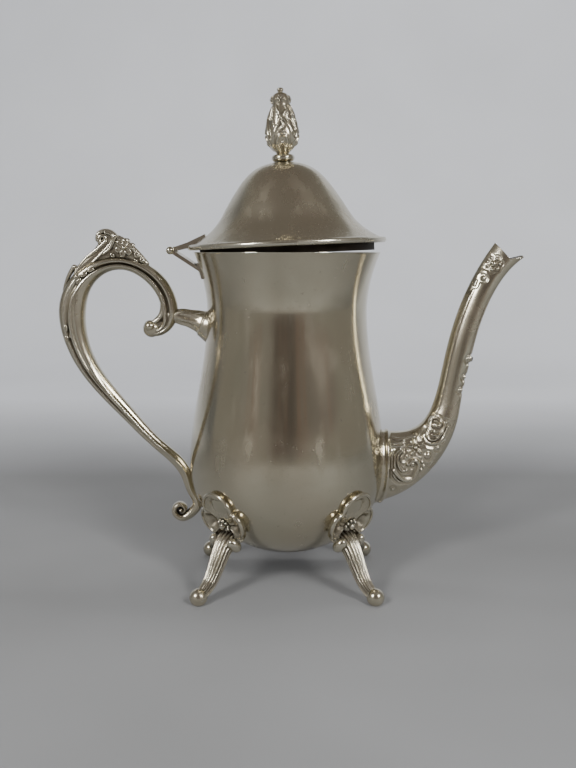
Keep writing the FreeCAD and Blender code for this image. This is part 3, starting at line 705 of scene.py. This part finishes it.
def spout_strokes():
    """Scrolls, flower and berries on the spout's base, and the rosette under its mouth."""
    scrolls = [
        stroke([(73.5, 87.3), (73.5, 90.8), (75, 93.2), (77.3, 93.2), (78.9, 91.2), (78.2, 89.2),
                (76.2, 89.6), (75.8, 91.2)], 1.0, 1.1, 0.9),
        stroke([(81.3, 91.2), (79.8, 86.5), (76.7, 84.5), (74.8, 84.9)], 0.9, 0.9, 0.6),
        stroke([(72, 87.1), (70.3, 84.9), (71.3, 81.7), (74.4, 80.3), (78.3, 81.3), (81, 84.9), (82.5, 88.9)],
               1.1, 1.1, 0.6),
        stroke([(72.4, 86.5), (72.4, 83.3), (74.8, 82.1), (77.5, 83.3), (79.8, 85.7)], 0.9, 0.9, 0.6),
        stroke([(58.1, 78), (55.7, 75.8), (55, 73), (55.2, 69), (57.4, 64.6), (60.6, 62.2), (63.4, 62.2)],
               0.8, 0.9),
        stroke([(59.2, 77.4), (57.1, 75), (56.6, 71.4), (57.4, 68.6), (59.4, 66.6), (61.3, 67)], 0.7, 0.9),
        stroke([(59.6, 75.8), (58.5, 73.8), (58.5, 71.8), (60.1, 71)], 0.6, 0.8),
        stroke([(54.3, 67.4), (57.5, 63.4), (61.4, 61.4), (65.3, 62.6), (66.8, 65.8), (67.6, 68.6),
                (66.4, 71.8), (64, 71.8), (62.1, 70.2)], 0.9, 1.2, 1.2),
        stroke([(54.3, 65), (56.7, 61.8), (59.1, 60.6)], 0.7, 0.8, 0.4),
    ]
    rays = [
        stroke([(54.1, 83.3), (58, 82.7), (61.9, 83.3), (65.4, 84.1)], 0.75, 0.8, 0.4),
        stroke([(54.1, 81.3), (57.2, 80.9), (60.3, 82.1)], 0.7, 0.8, 0.4),
        stroke([(54.1, 80.1), (57.3, 79.3), (60, 80.1)], 0.6, 0.8, 0.4),
    ]
    beads = [dab(64.4, 70, 1.4, 1.2), dab(75.6, 89.8, 1.7, 1.7), dab(72.4, 74.2, 2.0, 1.2),
             dab(77.6, 78, 1.2, 0.9), dab(70.5, 68.4, 1.0, 0.9), dab(69.5, 71, 0.9, 0.8),
             dab(69.2, 66.6, 0.9, 0.8), dab(54.6, 56.8, 1.0, 0.8)]
    tip = [dab(99.3, 164.9, 1.4, 1.2), stroke([(96.3, 163.8), (95.5, 161.3)], 0.6, 0.7, 0.4),
           stroke([(94.1, 163), (93.4, 160.5)], 0.6, 0.7, 0.4)]
    edge = [dab(93.6, 123.5, 1.9, 1.2), dab(91, 114.3, 1.1, 0.8), dab(89.2, 107.6, 1.4, 0.9)]
    return (scrolls + rays + beads + tip + edge + petals(65.9, 78.6, 4.9, 5, 1.3, 0.4)
            + beaded(104.3, 172.2, 3.1, 7, 1.0))


def spout_relief(flat):
    """Height of the cast ornament, on ground that is sunk a little around it."""
    strokes = spout_strokes()
    wide = [(path, start + GROUND_MARGIN, end + GROUND_MARGIN, 1.0) for path, start, end, _ in strokes]
    return relief(flat, strokes) - GROUND_DEPTH * ease(0, 0.8, relief(flat, wide))


def spout_skin():
    """Near half of the spout's outer skin, from its upper seam round the -Y side to its lower seam."""
    rows = []
    for upper, lower, width in SPOUT_ROWS:
        high, low = spout_point(upper), spout_point(lower)
        rows.append((*((high + low) / 2), *high, *low, width * SPOUT_REACH))
    line = smooth(rows, SPOUT_STEPS)
    middle = line[:, None, :2]
    half = (line[:, 2:4] - line[:, 4:6])[:, None, :] / 2
    neck = ease(*NECK_Z, line[:, 1])[:, None]
    power = SECTION_POWER - SECTION_POWER_FALL * neck
    angle = np.linspace(0, np.pi, SPOUT_AROUND)[None, :]
    up = np.sign(np.cos(angle)) * np.abs(np.cos(angle)) ** (2 / power)
    side = np.abs(np.sin(angle)) ** (2 / power)
    flat = middle + half * (up - NECK_LEAN * neck * side)[..., None]
    points = np.stack([flat[..., 0], -line[:, 6:7] / 2 * side, flat[..., 1]], -1)
    normal = unit(np.cross(np.gradient(points, axis=1), np.gradient(points, axis=0)))
    normal *= -np.sign(normal[SPOUT_STEPS // 2, SPOUT_AROUND // 2, 1])
    normal[:, [0, -1], 1] = 0
    plain = ease(*MOULDINGS_END, line[:, 1])[:, None] * neck
    moulding = plain * sum(height * bump(up - place, width) for place, width, height in MOULDINGS)
    gap = np.hypot(points[..., 0], points[..., 1]) - body_radius(points[..., 2])
    flange = FLANGE_FLARE * bump(np.maximum(gap, 0), FLANGE_RUN)
    flange = flange + FLANGE_RING * bump(gap - FLANGE_RING_AT, FLANGE_RUN)
    height = spout_relief(flat) * ease(1.0, SEAM_FADE, up) + moulding + flange
    return points + unit(normal) * height[..., None]


def drop_faces(shape, unwanted):
    """Deletes the faces whose middle, in millimetres, is unwanted."""
    gone = [face for face in shape.faces if unwanted(*face.calc_center_median() / MM)]
    bmesh.ops.delete(shape, geom=gone, context="FACES")


def cut_mouth(shape):
    """Cuts the pouring lip: what lies above all three lines of the mouth goes."""
    corners = [spout_point(share) for share in MOUTH]
    lines = []
    for first, last in zip(corners[:-1], corners[1:]):
        run = last - first
        lines.append((first, np.array([-run[1], run[0]])))
    for point, up in lines:
        everything = shape.verts[:] + shape.edges[:] + shape.faces[:]
        bmesh.ops.bisect_plane(shape, geom=everything, plane_co=(point[0] * MM, 0, point[1] * MM),
                               plane_no=(up[0], 0, up[1]), dist=1e-7)

    def above(x, _, z):
        return all((np.array([x, z]) - point) @ up > 0 for point, up in lines)

    drop_faces(shape, above)


def cut_root(shape):
    """Takes away what lies inside the pot's wall."""
    def within(x, y, z):
        return math.hypot(x, y) < body_radius(z) - 0.7 * BODY_WALL

    drop_faces(shape, within)


def make_spout(name, node, flip):
    """One cast half of the spout, cut to the pot and at its mouth, with a real wall."""
    shell = grid_shell(spout_skin(), closed=False)
    mesh = mesh_of(name, [mirrored(shell) if flip else shell])
    shape = bmesh.new()
    shape.from_mesh(mesh)
    cut_mouth(shape)
    cut_root(shape)
    bmesh.ops.recalc_face_normals(shape, faces=shape.faces)
    outward = sum(face.normal.y * face.calc_area() for face in shape.faces)
    if (outward > 0) != flip:
        bmesh.ops.reverse_faces(shape, faces=shape.faces)
    shape.to_mesh(mesh)
    shape.free()
    made = piece(name, mesh, [CASTING, PAINTED_SHADE_SHEET], "pot", [node])
    wall = made.modifiers.new("wall", "SOLIDIFY")
    wall.thickness = SPOUT_WALL * MM
    wall.offset = -1
    # The inner wall takes the second finish, near-black painted shade.
    wall.material_offset = 1
    applied(made)


HANDLE_LOOP = [
    (-0.442, -0.067, 0.049, 0.072), (-0.377, -0.072, 0.058, 0.087), (-0.310, -0.032, 0.078, 0.101),
    (-0.280, 0.058, 0.122, 0.116), (-0.288, 0.152, 0.125, 0.116), (-0.351, 0.283, 0.122, 0.116),
    (-0.458, 0.380, 0.110, 0.116), (-0.616, 0.438, 0.096, 0.119), (-0.775, 0.417, 0.116, 0.130),
    (-0.925, 0.304, 0.165, 0.151), (-1.000, 0.116, 0.200, 0.165), (-0.994, -0.051, 0.186, 0.162),
    (-0.916, -0.283, 0.151, 0.151),
]
HANDLE_FALL = [(-0.504, 0.586, 0.107, 0.125), (-0.272, 0.343, 0.087, 0.110), (-0.119, 0.201, 0.090, 0.104)]
HANDLE_LIE = [(0.101, 0.084, 0.101), (-0.007, 0.072, 0.099), (-0.109, 0.075, 0.096)]
HANDLE_CURL = [
    (-0.087, -0.083, 0.070, 0.093), (-0.152, -0.112, 0.058, 0.093), (-0.204, -0.058, 0.050, 0.093),
    (-0.160, -0.010, 0.042, 0.088), (-0.124, -0.045, 0.034, 0.080), (-0.140, -0.072, 0.026, 0.070),
]


def handle_stations():
    """Centre line of the scroll, as the CAD handle has it, with the lower curl wound further in."""
    def placed(rows, x, z):
        return [tuple(np.array([x, z, 0, 0]) + HANDLE_REACH * np.array(row)) for row in rows]

    stations = placed(HANDLE_LOOP, -body_radius(HANDLE_ARM_Z), HANDLE_ARM_Z)
    stations += placed(HANDLE_FALL, -body_radius(HANDLE_FOOT_Z), HANDLE_FOOT_Z)
    for drop, thickness, width in HANDLE_LIE:
        height = HANDLE_FOOT_Z + drop * HANDLE_REACH
        depth = thickness * HANDLE_REACH
        out = body_radius(height) + depth / 2 - HANDLE_BITE
        stations.append((-out, height, depth, width * HANDLE_REACH))
    return stations + placed(HANDLE_CURL, -body_radius(height), height)


# Where the grooves and ridges run on the scroll: share of its length, place across it (+1 is the inner
# side), width and height
HANDLE_LINES = [
    [(0.00, 0.15, 0.20, 0.0), (0.07, 0.20, 0.22, -2.0), (0.16, 0.15, 0.22, -2.5), (0.28, -0.05, 0.20, -2.2),
     (0.36, -0.30, 0.14, -1.6), (0.44, -0.42, 0.12, -2.0), (0.58, -0.38, 0.11, -1.7),
     (0.68, -0.45, 0.12, -0.5), (0.74, -0.5, 0.1, 0.0)],
    [(0.34, 0.1, 0.1, 0.0), (0.42, 0.1, 0.1, -1.0), (0.56, 0.05, 0.1, -0.9), (0.64, 0.0, 0.1, 0.0)],
    [(0.50, 0.1, 0.1, 0.0), (0.58, 0.1, 0.10, 0.5), (0.80, 0.1, 0.12, 0.6), (0.88, 0.0, 0.1, 0.0)],
    [(0.50, 0.6, 0.3, 0.0), (0.58, 0.6, 0.30, -0.7), (0.80, 0.6, 0.30, -0.6), (0.88, 0.6, 0.3, 0.0)],
    [(0.62, -0.4, 0.3, 0.0), (0.70, -0.4, 0.30, -0.6), (0.80, -0.4, 0.30, -0.6), (0.88, -0.4, 0.3, 0.0)],
]


def handle_lines(share, inward, side):
    """Grooves between the strands of the scroll and the ridge down its lower half."""
    push = np.zeros(np.broadcast(share, inward).shape)
    for rows in HANDLE_LINES:
        at, place, width, height = np.array(rows).T
        offset = inward - np.interp(share, at, place)
        push = push + np.interp(share, at, height) * bump(offset, np.interp(share, at, width))
    return push


def rib(points, radius, end, y=0.0, flat=1.0):
    """Round strand along points of the middle plane, tapering to its end."""
    radii = np.linspace(radius, end, len(points))
    rows = [(x, z, 2 * r, 2 * r * flat) for (x, z), r in zip(points, radii)]
    return sweep(rows, 14 * len(points), 20, y=y)


def twin_ribs(points, radius, end, y):
    return [rib(points, radius, end, side * y) for side in (-1, 1)]


def twin_pebbles(x, z, y, size, turn=0.0, dent=0.0):
    return [pebble((x, side * y, z), size, turn, dent) for side in (-1, 1)]


def rosette(x, z, y, reach, count, size, turn):
    """Flower of cupped petals round a bead, on both faces of the handle."""
    shells = twin_pebbles(x, z, y + 0.5, (size * 0.62, size * 0.7, size * 0.62))
    for angle in ring(count, turn):
        a, b = x + reach * math.cos(angle), z + reach * math.sin(angle)
        shells += twin_pebbles(a, b, y, (size, size * 0.55, size * 0.8), angle, 0.45)
    return shells


def handle_crest():
    """Leaf that rises from the grip into a curl, the saddle behind it, its ribs and its flower."""
    leaf = [(-106.5, 168.5, 4.5, 6.0), (-101.5, 172.5, 5.5, 5.5), (-96.5, 177.0, 6.0, 5.0),
            (-93.0, 181.0, 6.5, 4.6), (-91.0, 185.0, 5.5, 4.6)]
    saddle = [(-92.0, 185.4, 4.6, 4.6), (-88.0, 183.6, 7.4, 4.8), (-83.0, 180.0, 8.6, 5.0),
              (-78.0, 176.3, 7.2, 4.8), (-72.5, 172.0, 4.4, 4.4)]
    web = [(-99.0, 172.0, 5.0, 4.4), (-93.0, 176.0, 7.0, 4.0), (-87.5, 177.6, 8.0, 4.0),
           (-81.0, 175.5, 6.0, 4.0)]
    shells = [sweep(stations, 60, 32, 2.6) for stations in (leaf, saddle, web)]
    curl = [(-93.7, 181.9), (-92, 184.1), (-92.5, 185.6), (-94.1, 186.2), (-95.2, 185.1), (-95, 183)]
    outer = [(-96.2, 184.4), (-95.9, 186.8), (-92.8, 188.6), (-89.3, 188.0), (-85.6, 184.8), (-80.0, 180.5),
             (-74.0, 174.5)]
    first = [(-91.9, 187.9), (-89.6, 187.1), (-88.3, 185.1), (-89.4, 182.5), (-93.2, 178.3), (-98.7, 173.0)]
    second = [(-87.2, 186.0), (-88.4, 182.5), (-90.6, 179.3), (-93.3, 177.2)]
    third = [(-92.1, 183.5), (-94.2, 181.4), (-98.6, 177.7), (-102.4, 174.6), (-105.1, 171.4),
             (-108.0, 167.0)]
    shells += twin_ribs(curl, 0.9, 1.2, 2.2)
    shells.append(rib(outer, 1.4, 1.0, flat=2.4))
    for line in (first, second, third):
        shells += twin_ribs(line, 1.0, 0.7, 2.3)
    shells += rosette(-82.6, 180.2, 3.3, 2.9, 6, 2.1, 0.3)
    beads = [(-76.4, 176.4, 1.7), (-73.6, 173.8, 1.5), (-76.8, 173.6, 1.2), (-88.6, 176.4, 1.5)]
    for x, z, size in beads:
        shells += twin_pebbles(x, z, 2.6, (size, 1.2, 0.75 * size), -0.7, 0.3)
    return shells


def handle_leaves():
    """Small leaves on the grip's outer side, above and below the smooth stretch."""
    shells = []
    tips = [(-106.8, 165.5, 0.7), (-103.1, 166.6, 0.5), (-99.6, 169.0, 0.3), (-105.8, 163.4, 0.9),
            (-110.6, 142.6, 1.4), (-112.9, 139.4, 1.7), (-110.2, 136.1, 1.2), (-112.5, 134.0, 1.6)]
    for x, z, turn in tips:
        shells += twin_pebbles(x, z, 4.4, (1.9, 1.0, 1.1), turn, 0.35)
    stem = [(-108.6, 170.4), (-110.6, 167.6), (-112.6, 163.5), (-114.2, 158.5)]
    shells.append(rib(stem, 1.4, 0.7, flat=1.6))
    return shells


FLUTES = 7
FLUTE_HEIGHT = 0.45
FLUTE_RUN = ((0.1, 0.35), (0.8, 0.6))
ARM_RING_AT, ARM_RING_WIDTH, ARM_RING_HEIGHT = 0.80, 0.025, 0.35


def handle_arm():
    """Fluted arm that flares from the scroll to the waist, with a ring where it is soldered on."""
    stations = [(-60.0, 145.6, 5.4, 5.4), (-56.0, 145.2, 7.6, 7.2), (-51.0, 144.3, 8.4, 8.0),
                (-47.0, 143.2, 10.0, 9.2), (-44.0, 142.2, 12.4, 11.2), (-41.6, 141.2, 15.4, 13.6),
                (-39.4, 140.5, 18.0, 15.6)]

    def flutes(share, inward, side):
        angle = np.arctan2(side, inward)
        collar = ARM_RING_HEIGHT * bump(share - ARM_RING_AT, ARM_RING_WIDTH)
        return FLUTE_HEIGHT * np.cos(FLUTES * angle) * between(*FLUTE_RUN, share) + collar

    return sweep(stations, 120, 96, shape=flutes)


def make_handle():
    """The handle's casting: scroll, ball, inner strand, arm, crest and leaves."""
    ball = pebble((-70.4, 0.0, 140.2), (3.2, 4.2, 3.2), steps=24)
    cup = pebble((-69.6, 0.0, 138.9), (4.4, 3.3, 4.4), steps=24)
    web = pebble((-66.0, 0.0, 140.9), (3.6, 1.6, 2.6), 0.4)
    eye = pebble((-55.6, 0.0, 43.8), (1.5, 3.4, 1.5), steps=20)
    strand = [(-63.2, 153.0), (-63.4, 149.0), (-64.6, 145.6), (-66.6, 143.4), (-68.6, 141.8)]
    shells = [sweep(handle_stations(), 420, 64, 2.1, shape=handle_lines), ball, cup, web, eye, handle_arm(),
              rib(strand, 2.0, 1.5, flat=1.5)]
    shells += handle_crest() + handle_leaves()
    shells = [hugged(shell) for shell in shells]
    mesh = mesh_of("handle_casting", shells)
    piece("handle_casting", mesh, [CASTING], "pot", ["handle"])


# A foot's flower: reach of its petals and height of their rims, each at the sides and its change downhill
PETALS = 5
PETAL_REACH, PETAL_REACH_DOWN = 13.2, -3.8
PETAL_RIM, PETAL_RIM_DOWN = 4.2, 2.0
PETAL_ROLL = 0.8
PETAL_CUP = 3.0
PETAL_CUP_AT, PETAL_CUP_WIDTH = 0.62, 0.24
PETAL_WIDEN = 0.3
PETAL_NOTCH, RIM_NOTCH = 0.28, 0.2
VEINS, VEIN_HEIGHT = 3, 0.4
BELL_WALL = 0.6
BELL_SUNK = 0.8
BELL_FOOT = 0.86  # share of the reach where its outside meets the belly
BOSS_R, BOSS_LIFT = 1.7, 2.6
STAMENS = 9
STAMEN_R, STAMEN_LIFT = 0.8, 1.7
STAMEN_CIRCLE_R = 3.0
LEG_START = 9.0
LEG_BENDS = [(0.45, 0.02), (0.50, 0.75)]
LEG_THICKNESS = (7.6, 4.8)
LEG_WIDTH = (13.5, 6.0)
REEDS = 16
REED_HEIGHT = 0.8
REED_SUNK = 0.6  # share of a reed's height under the leg's skin
EAR_PLACE = (43.5, 6.6, 34.3)
EAR_SIZE = (4.6, 3.2, 3.0)
EAR_TURN = 0.75


def plate_frame():
    """For a foot at +X: the middle of its flower on the belly, and the directions down and out of it."""
    centre = np.array([body_radius(FOOT_PLATE_Z), 0, FOOT_PLATE_Z])
    below = np.array([body_radius(FOOT_PLATE_Z - 0.05), 0, FOOT_PLATE_Z - 0.05])
    down = unit(below - centre)
    return centre, down, np.array([-down[2], 0, down[0]])


def on_belly(p, q):
    """Points of the belly's skin at these distances down and across from the middle of a foot's flower."""
    centre, down, out = plate_frame()
    points = centre + p[..., None] * down + q[..., None] * ACROSS
    for _ in range(8):
        gap = np.hypot(points[..., 0], points[..., 1]) - body_radius(points[..., 2])
        points = points - gap[..., None] * out
    return points


def flower_bell():
    """Bell of five cupped petals that opens away from the belly, the upper one widest, with a rolled rim."""
    _, _, out = plate_frame()
    angle = ring(200)[None, :]
    widened = angle + PETAL_WIDEN * np.sin(angle)
    lobe = np.abs(np.cos(PETALS / 2 * (widened - np.pi)))
    downhill = np.cos(angle)
    reach = (PETAL_REACH + PETAL_REACH_DOWN * downhill) * (1 - PETAL_NOTCH + PETAL_NOTCH * lobe**0.6)
    rim = (PETAL_RIM + PETAL_RIM_DOWN * downhill) * (1 - RIM_NOTCH + RIM_NOTCH * lobe)
    t = np.linspace(0, 1, 48)[:, None]
    bowl = BELL_WALL + (rim - BELL_WALL) * t**1.3
    cup = -PETAL_CUP * lobe * bump(t - PETAL_CUP_AT, PETAL_CUP_WIDTH)
    veins = VEIN_HEIGHT * np.cos(VEINS * PETALS * (widened - np.pi)) * t * ease(1.0, 0.8, t)
    rows = [(reach * t, bowl + cup + veins)]
    roll = np.linspace(np.pi, 0, 12)[1:, None]
    rows.append((reach + PETAL_ROLL * (1 + np.cos(roll)), rim + PETAL_ROLL * np.sin(roll)))
    fall = np.linspace(0, 1, 14)[1:, None]
    foot = BELL_FOOT * reach - BELL_WALL
    rows.append((reach + 2 * PETAL_ROLL + (foot - reach) * fall**1.4, rim - (rim + BELL_SUNK) * fall))
    rows.append((0 * reach, 0 * reach - BELL_SUNK))
    distance = np.vstack([row[0] for row in rows])
    height = np.vstack([row[1] for row in rows])
    skin = on_belly(distance * np.cos(angle), distance * np.sin(angle))
    return grid_shell(skin + height[..., None] * out)


def foot_flower():
    """The bell, with a boss and a ring of stamens in its middle."""
    centre, down, out = plate_frame()
    shells = [flower_bell(), pebble(centre + BOSS_LIFT * out, (BOSS_R,) * 3)]
    for angle in ring(STAMENS):
        way = math.cos(angle) * down + math.sin(angle) * ACROSS
        spot = centre + STAMEN_CIRCLE_R * way + STAMEN_LIFT * out
        shells.append(pebble(spot, (STAMEN_R,) * 3, steps=8))
    return shells


def foot_leg():
    """Reeded leg from under the flower to the ball."""
    centre, down, _ = plate_frame()
    top = centre + down * LEG_START
    ankle = np.array([FOOT_CIRCLE_R - FOOT_BALL_R / 2, 0, FOOT_BALL_Z + FOOT_BALL_R / 4])
    run, fall = ankle[0] - top[0], top[2] - ankle[2]
    bends = [(top[0] + out * run, top[2] - drop * fall) for out, drop in LEG_BENDS]
    poles = [(top[0], top[2]), *bends, (ankle[0], ankle[2])]
    line = cubic(poles, 6)
    thickness = np.linspace(*LEG_THICKNESS, len(line))
    width = np.linspace(*LEG_WIDTH, len(line))

    def reeds(share, inward, side):
        angle = np.arctan2(side, inward)
        return REED_HEIGHT * (np.abs(np.cos(REEDS / 2 * angle)) - REED_SUNK)

    return sweep(np.column_stack([line, thickness, width]), 80, 144, 2.2, shape=reeds)


def foot_ball():
    """Ball that stands flat on the table."""
    points, faces = pebble((FOOT_CIRCLE_R, 0, FOOT_BALL_Z), (FOOT_BALL_R,) * 3, steps=28)
    points[:, 2] = np.maximum(points[:, 2], TABLE_Z)
    return points, faces


def make_foot(node, angle):
    """Flower, leg, ball, and an ear on each side of the leg's top, in one casting."""
    ear = pebble(EAR_PLACE, EAR_SIZE, EAR_TURN)
    shells = foot_flower() + [foot_leg(), foot_ball(), ear, mirrored(ear)]
    shells = [spun(hugged(shell), math.radians(angle), X, Y) for shell in shells]
    piece(node + "_casting", mesh_of(node, shells), [FOOT_CASTING], "pot", [node])


def dress_nodes():
    """Finishes for the CAD pieces that stay in view."""
    # The lid's bezel gets the near-black painted shade finish.
    finishes = {CASTING: ["hinge_bracket", "hinge_pin", "lid_hinge_strap"], PAINTED_SHADE_SHEET: ["lid_bezel"],
                BRASS: ["finial_stud", "finial_washer", "finial_nut"]}
    for finish, names in finishes.items():
        for name in names:
            mesh = frame["nodes"][name].data
            mesh.materials.clear()
            mesh.materials.append(finish)


FLOOR_FRONT, FLOOR_BACK, FLOOR_SIDE = -3.0, 0.9, 3.5
SWEEP_R, WALL_TOP = 0.7, 2.6
PAPER_BEND = (0.26, 0.70)
# One sheet of paper: darker on the floor as painted shade and paler on the wall as painted light.
PAPER_FLOOR_PAINTED_SHADE = (0.138, 0.138, 0.136)
PAPER_WALL_PAINTED_LIGHT = (0.63, 0.64, 0.665)
PAPER_CLOUDS = 0.12
PAPER_ROUGHNESS = 0.75
# The dim room, seen from ROOM_EYE above the table: its sides as angles from the camera's side, its
# (distance, height) profile, and where its tones change, as sines of the angles across and up
ROOM_LEFT, ROOM_RIGHT = -98, 108
ROOM_PROFILE = [(1.2, 0.004), (1.2, 0.6), (1.3, 1.25)]
ROOM_EYE = 0.09
ROOM_LIGHT = (0.25, 0.24, 0.228)
ROOM_DARK = (0.12, 0.107, 0.1)
ROOM_MIDDLE = (0.2, 0.182, 0.172)
ROOM_WARM = (0.24, 0.17, 0.14)
ROOM_SIDE = (0.245, 0.24, 0.222)
ROOM_PAPER = (0.27, 0.262, 0.245)
ROOM_CEILING = (0.205, 0.186, 0.172)
ROOM_BAND_LEFT = (-0.42, -0.24)
ROOM_BAND_RIGHT = (0.12, 0.30)
ROOM_FADE_LEFT = (-0.905, -0.86)
ROOM_FADE_RIGHT = (0.84, 0.93)
ROOM_EDGE = (-0.065, -0.03)
ROOM_EDGE_RISE = 0.2
CEILING_R, CEILING_Z = 1.5, 1.25
CEILING_FADE = (1.35, 1.95)


def paper_finish():
    """Plain paper, grey on the table as painted shade and pale towards the wall as painted light."""
    nodes = Nodes("backdrop_paper_painted_light")
    clouds = nodes.span(nodes.noise(3, 3), 0.3, 0.7, 0, PAPER_CLOUDS)
    away = nodes.add("SeparateXYZ", "Y", {"Vector": nodes.place})
    rise = nodes.span(away, *PAPER_BEND, 0, 1 - PAPER_CLOUDS)
    # Blends from the painted-shade floor tone to the painted-light wall tone, with random clouds.
    nodes.drive("Base Color", nodes.blend(nodes.maths("ADD", rise, clouds), PAPER_FLOOR_PAINTED_SHADE, PAPER_WALL_PAINTED_LIGHT))
    nodes.shader["Roughness"].default_value = PAPER_ROUGHNESS
    return nodes.material


def dressed(name, shell, finish):
    """Object around the pot, with its finish."""
    mesh = mesh_of(name, [shell])
    mesh.materials.append(finish)
    return new_object(name, mesh)


def make_stage():
    """Floor that sweeps up into a wall."""
    turn = np.linspace(0, np.pi / 2, 25)
    line = [(FLOOR_FRONT, 0.0)]
    line += [(FLOOR_BACK + SWEEP_R * math.sin(a), SWEEP_R * (1 - math.cos(a))) for a in turn]
    line.append((FLOOR_BACK + SWEEP_R, WALL_TOP))
    points = np.array([[(x, y, z) for x in (-FLOOR_SIDE, FLOOR_SIDE)] for y, z in line])
    dressed("backdrop", grid_shell(points / MM, closed=False), paper_finish())


def glow_finish(nodes, tone):
    """Makes a material of a colour that shines by itself."""
    glow = nodes.add("Emission", "Emission", {"Color": tone})
    nodes.tree.links.new(glow, nodes.tree.nodes["Material Output"].inputs["Surface"])
    return nodes.material


def room_finish():
    """Dim room with upright stripes, pale at its sides and along its foot, which curves up to the sides."""
    nodes = Nodes("dim_room")
    seen = nodes.add("VectorMath", "Vector", {0: nodes.place, 1: (0, 0, ROOM_EYE)}, operation="SUBTRACT")
    direction = nodes.add("VectorMath", "Vector", {0: seen}, operation="NORMALIZE")
    across = nodes.add("SeparateXYZ", "X", {"Vector": direction})
    up = nodes.add("SeparateXYZ", "Z", {"Vector": direction})
    tone = nodes.blend(nodes.span(across, *ROOM_BAND_LEFT, 0, 1), ROOM_LIGHT, ROOM_DARK)
    tone = nodes.blend(nodes.span(across, *ROOM_BAND_RIGHT, 0, 1), tone, ROOM_MIDDLE)
    warm = nodes.span(nodes.noise(2.3, 2, (4, 4, 0.3)), 0.52, 0.66, 0, 0.7)
    tone = nodes.blend(warm, tone, ROOM_WARM)
    for low, high, start, end in ((*ROOM_FADE_LEFT, 1, 0), (*ROOM_FADE_RIGHT, 0, 1)):
        tone = nodes.blend(nodes.span(across, low, high, start, end), tone, ROOM_SIDE)
    rise = nodes.maths("MULTIPLY", nodes.maths("MULTIPLY", across, across), ROOM_EDGE_RISE)
    height = nodes.maths("SUBTRACT", up, rise)
    tone = nodes.blend(nodes.span(height, *ROOM_EDGE, 1, 0), tone, ROOM_PAPER)
    return glow_finish(nodes, tone)


def ceiling_finish():
    """Dim ceiling, paler towards its edge."""
    nodes = Nodes("dim_ceiling")
    length = nodes.add("VectorMath", "Value", {0: nodes.place}, operation="LENGTH")
    share = nodes.span(length, *CEILING_FADE, 0, 1)
    return glow_finish(nodes, nodes.blend(share, ROOM_CEILING, ROOM_SIDE))


def make_room():
    """Dim room behind the camera and overhead, which shows only in mirrored light."""
    azimuth = np.radians(np.linspace(ROOM_LEFT, ROOM_RIGHT, 40))[None, :]
    distance = np.array([row[0] for row in ROOM_PROFILE])[:, None]
    height = np.array([row[1] for row in ROOM_PROFILE])[:, None] + 0 * azimuth
    points = np.stack([distance * np.sin(azimuth), -distance * np.cos(azimuth), height], -1)
    side = grid_shell(points / MM, closed=False)
    ceiling = lathe(np.array([(0, CEILING_Z), (CEILING_R, CEILING_Z)]) / MM, 64)
    around = [dressed("room_side", side, room_finish()), dressed("room_ceiling", ceiling, ceiling_finish())]
    for made in around:
        made.visible_camera = False
        made.visible_diffuse = False
        made.visible_shadow = False


# Lamps: place, aim, size, watts and whether they only show as a window in the plate
LAMPS = {
    "front_soft": ((0.0, -1.6, 1.35), (0, 0, 0.05), (1.6, 0.8), 14, False),
    "left_soft": ((-0.67, -1.37, 0.85), (0, 0, 0.05), (0.3, 0.3), 27, False),
    "right_soft": ((0.67, -1.37, 0.85), (0, 0, 0.05), (0.3, 0.3), 27, False),
    "left_window": ((-0.72, -0.66, 0.66), (0, 0, 0.1), (0.2, 0.3), 6, True),
    "right_window": ((0.72, -0.68, 0.64), (0, 0, 0.1), (0.2, 0.3), 6, True),
    "wall_wash": ((0.5, 0.5, 2.2), (0.6, 1.6, 0.7), (2.4, 0.4), 30, False),
}
WORLD_COLOUR = (0.86, 0.88, 0.92, 1)
WORLD_STRENGTH = 0.2


def make_lamp(name, place, aim, size, power, mirrored_only):
    """Soft lamp that either lights the paper or shows in the plate."""
    lamp = bpy.data.lights.new(name, "AREA")
    lamp.shape = "RECTANGLE"
    lamp.size, lamp.size_y = size
    lamp.energy = power
    made = new_object(name, lamp)
    made.location = place
    made.visible_glossy = mirrored_only
    made.visible_diffuse = not mirrored_only
    direction = mathutils.Vector(aim) - made.location
    made.rotation_euler = direction.to_track_quat("-Z", "Y").to_euler()


def make_lights():
    """Faint light from all round, and the lamps."""
    world = bpy.data.worlds.new("room")
    bpy.context.scene.world = world
    world.use_nodes = True
    sky = world.node_tree.nodes["Background"].inputs
    sky["Color"].default_value = WORLD_COLOUR
    sky["Strength"].default_value = WORLD_STRENGTH
    for name, settings in LAMPS.items():
        make_lamp(name, *settings)


CAMERA_PLACE = (0.0005, -0.548, 0.1715)
CAMERA_PITCH = 7.05
LENS_MM, SENSOR_MM = 50, 36


def make_camera():
    """Camera at the photo's angle."""
    lens = bpy.data.cameras.new("photo_view")
    lens.lens = LENS_MM
    lens.sensor_width = SENSOR_MM
    made = new_object("photo_view", lens)
    made.location = CAMERA_PLACE
    made.rotation_euler = (math.radians(90 - CAMERA_PITCH), 0, 0)
    bpy.context.scene.camera = made


make_body()
make_lid()
make_collar()
make_finial()
make_spout("spout_half_near", "spout_near", False)
make_spout("spout_half_far", "spout_far", True)
make_handle()
for foot_node, foot_angle in FOOT_ANGLES.items():
    make_foot(foot_node, foot_angle)
dress_nodes()
make_stage()
make_room()
make_lights()
make_camera()
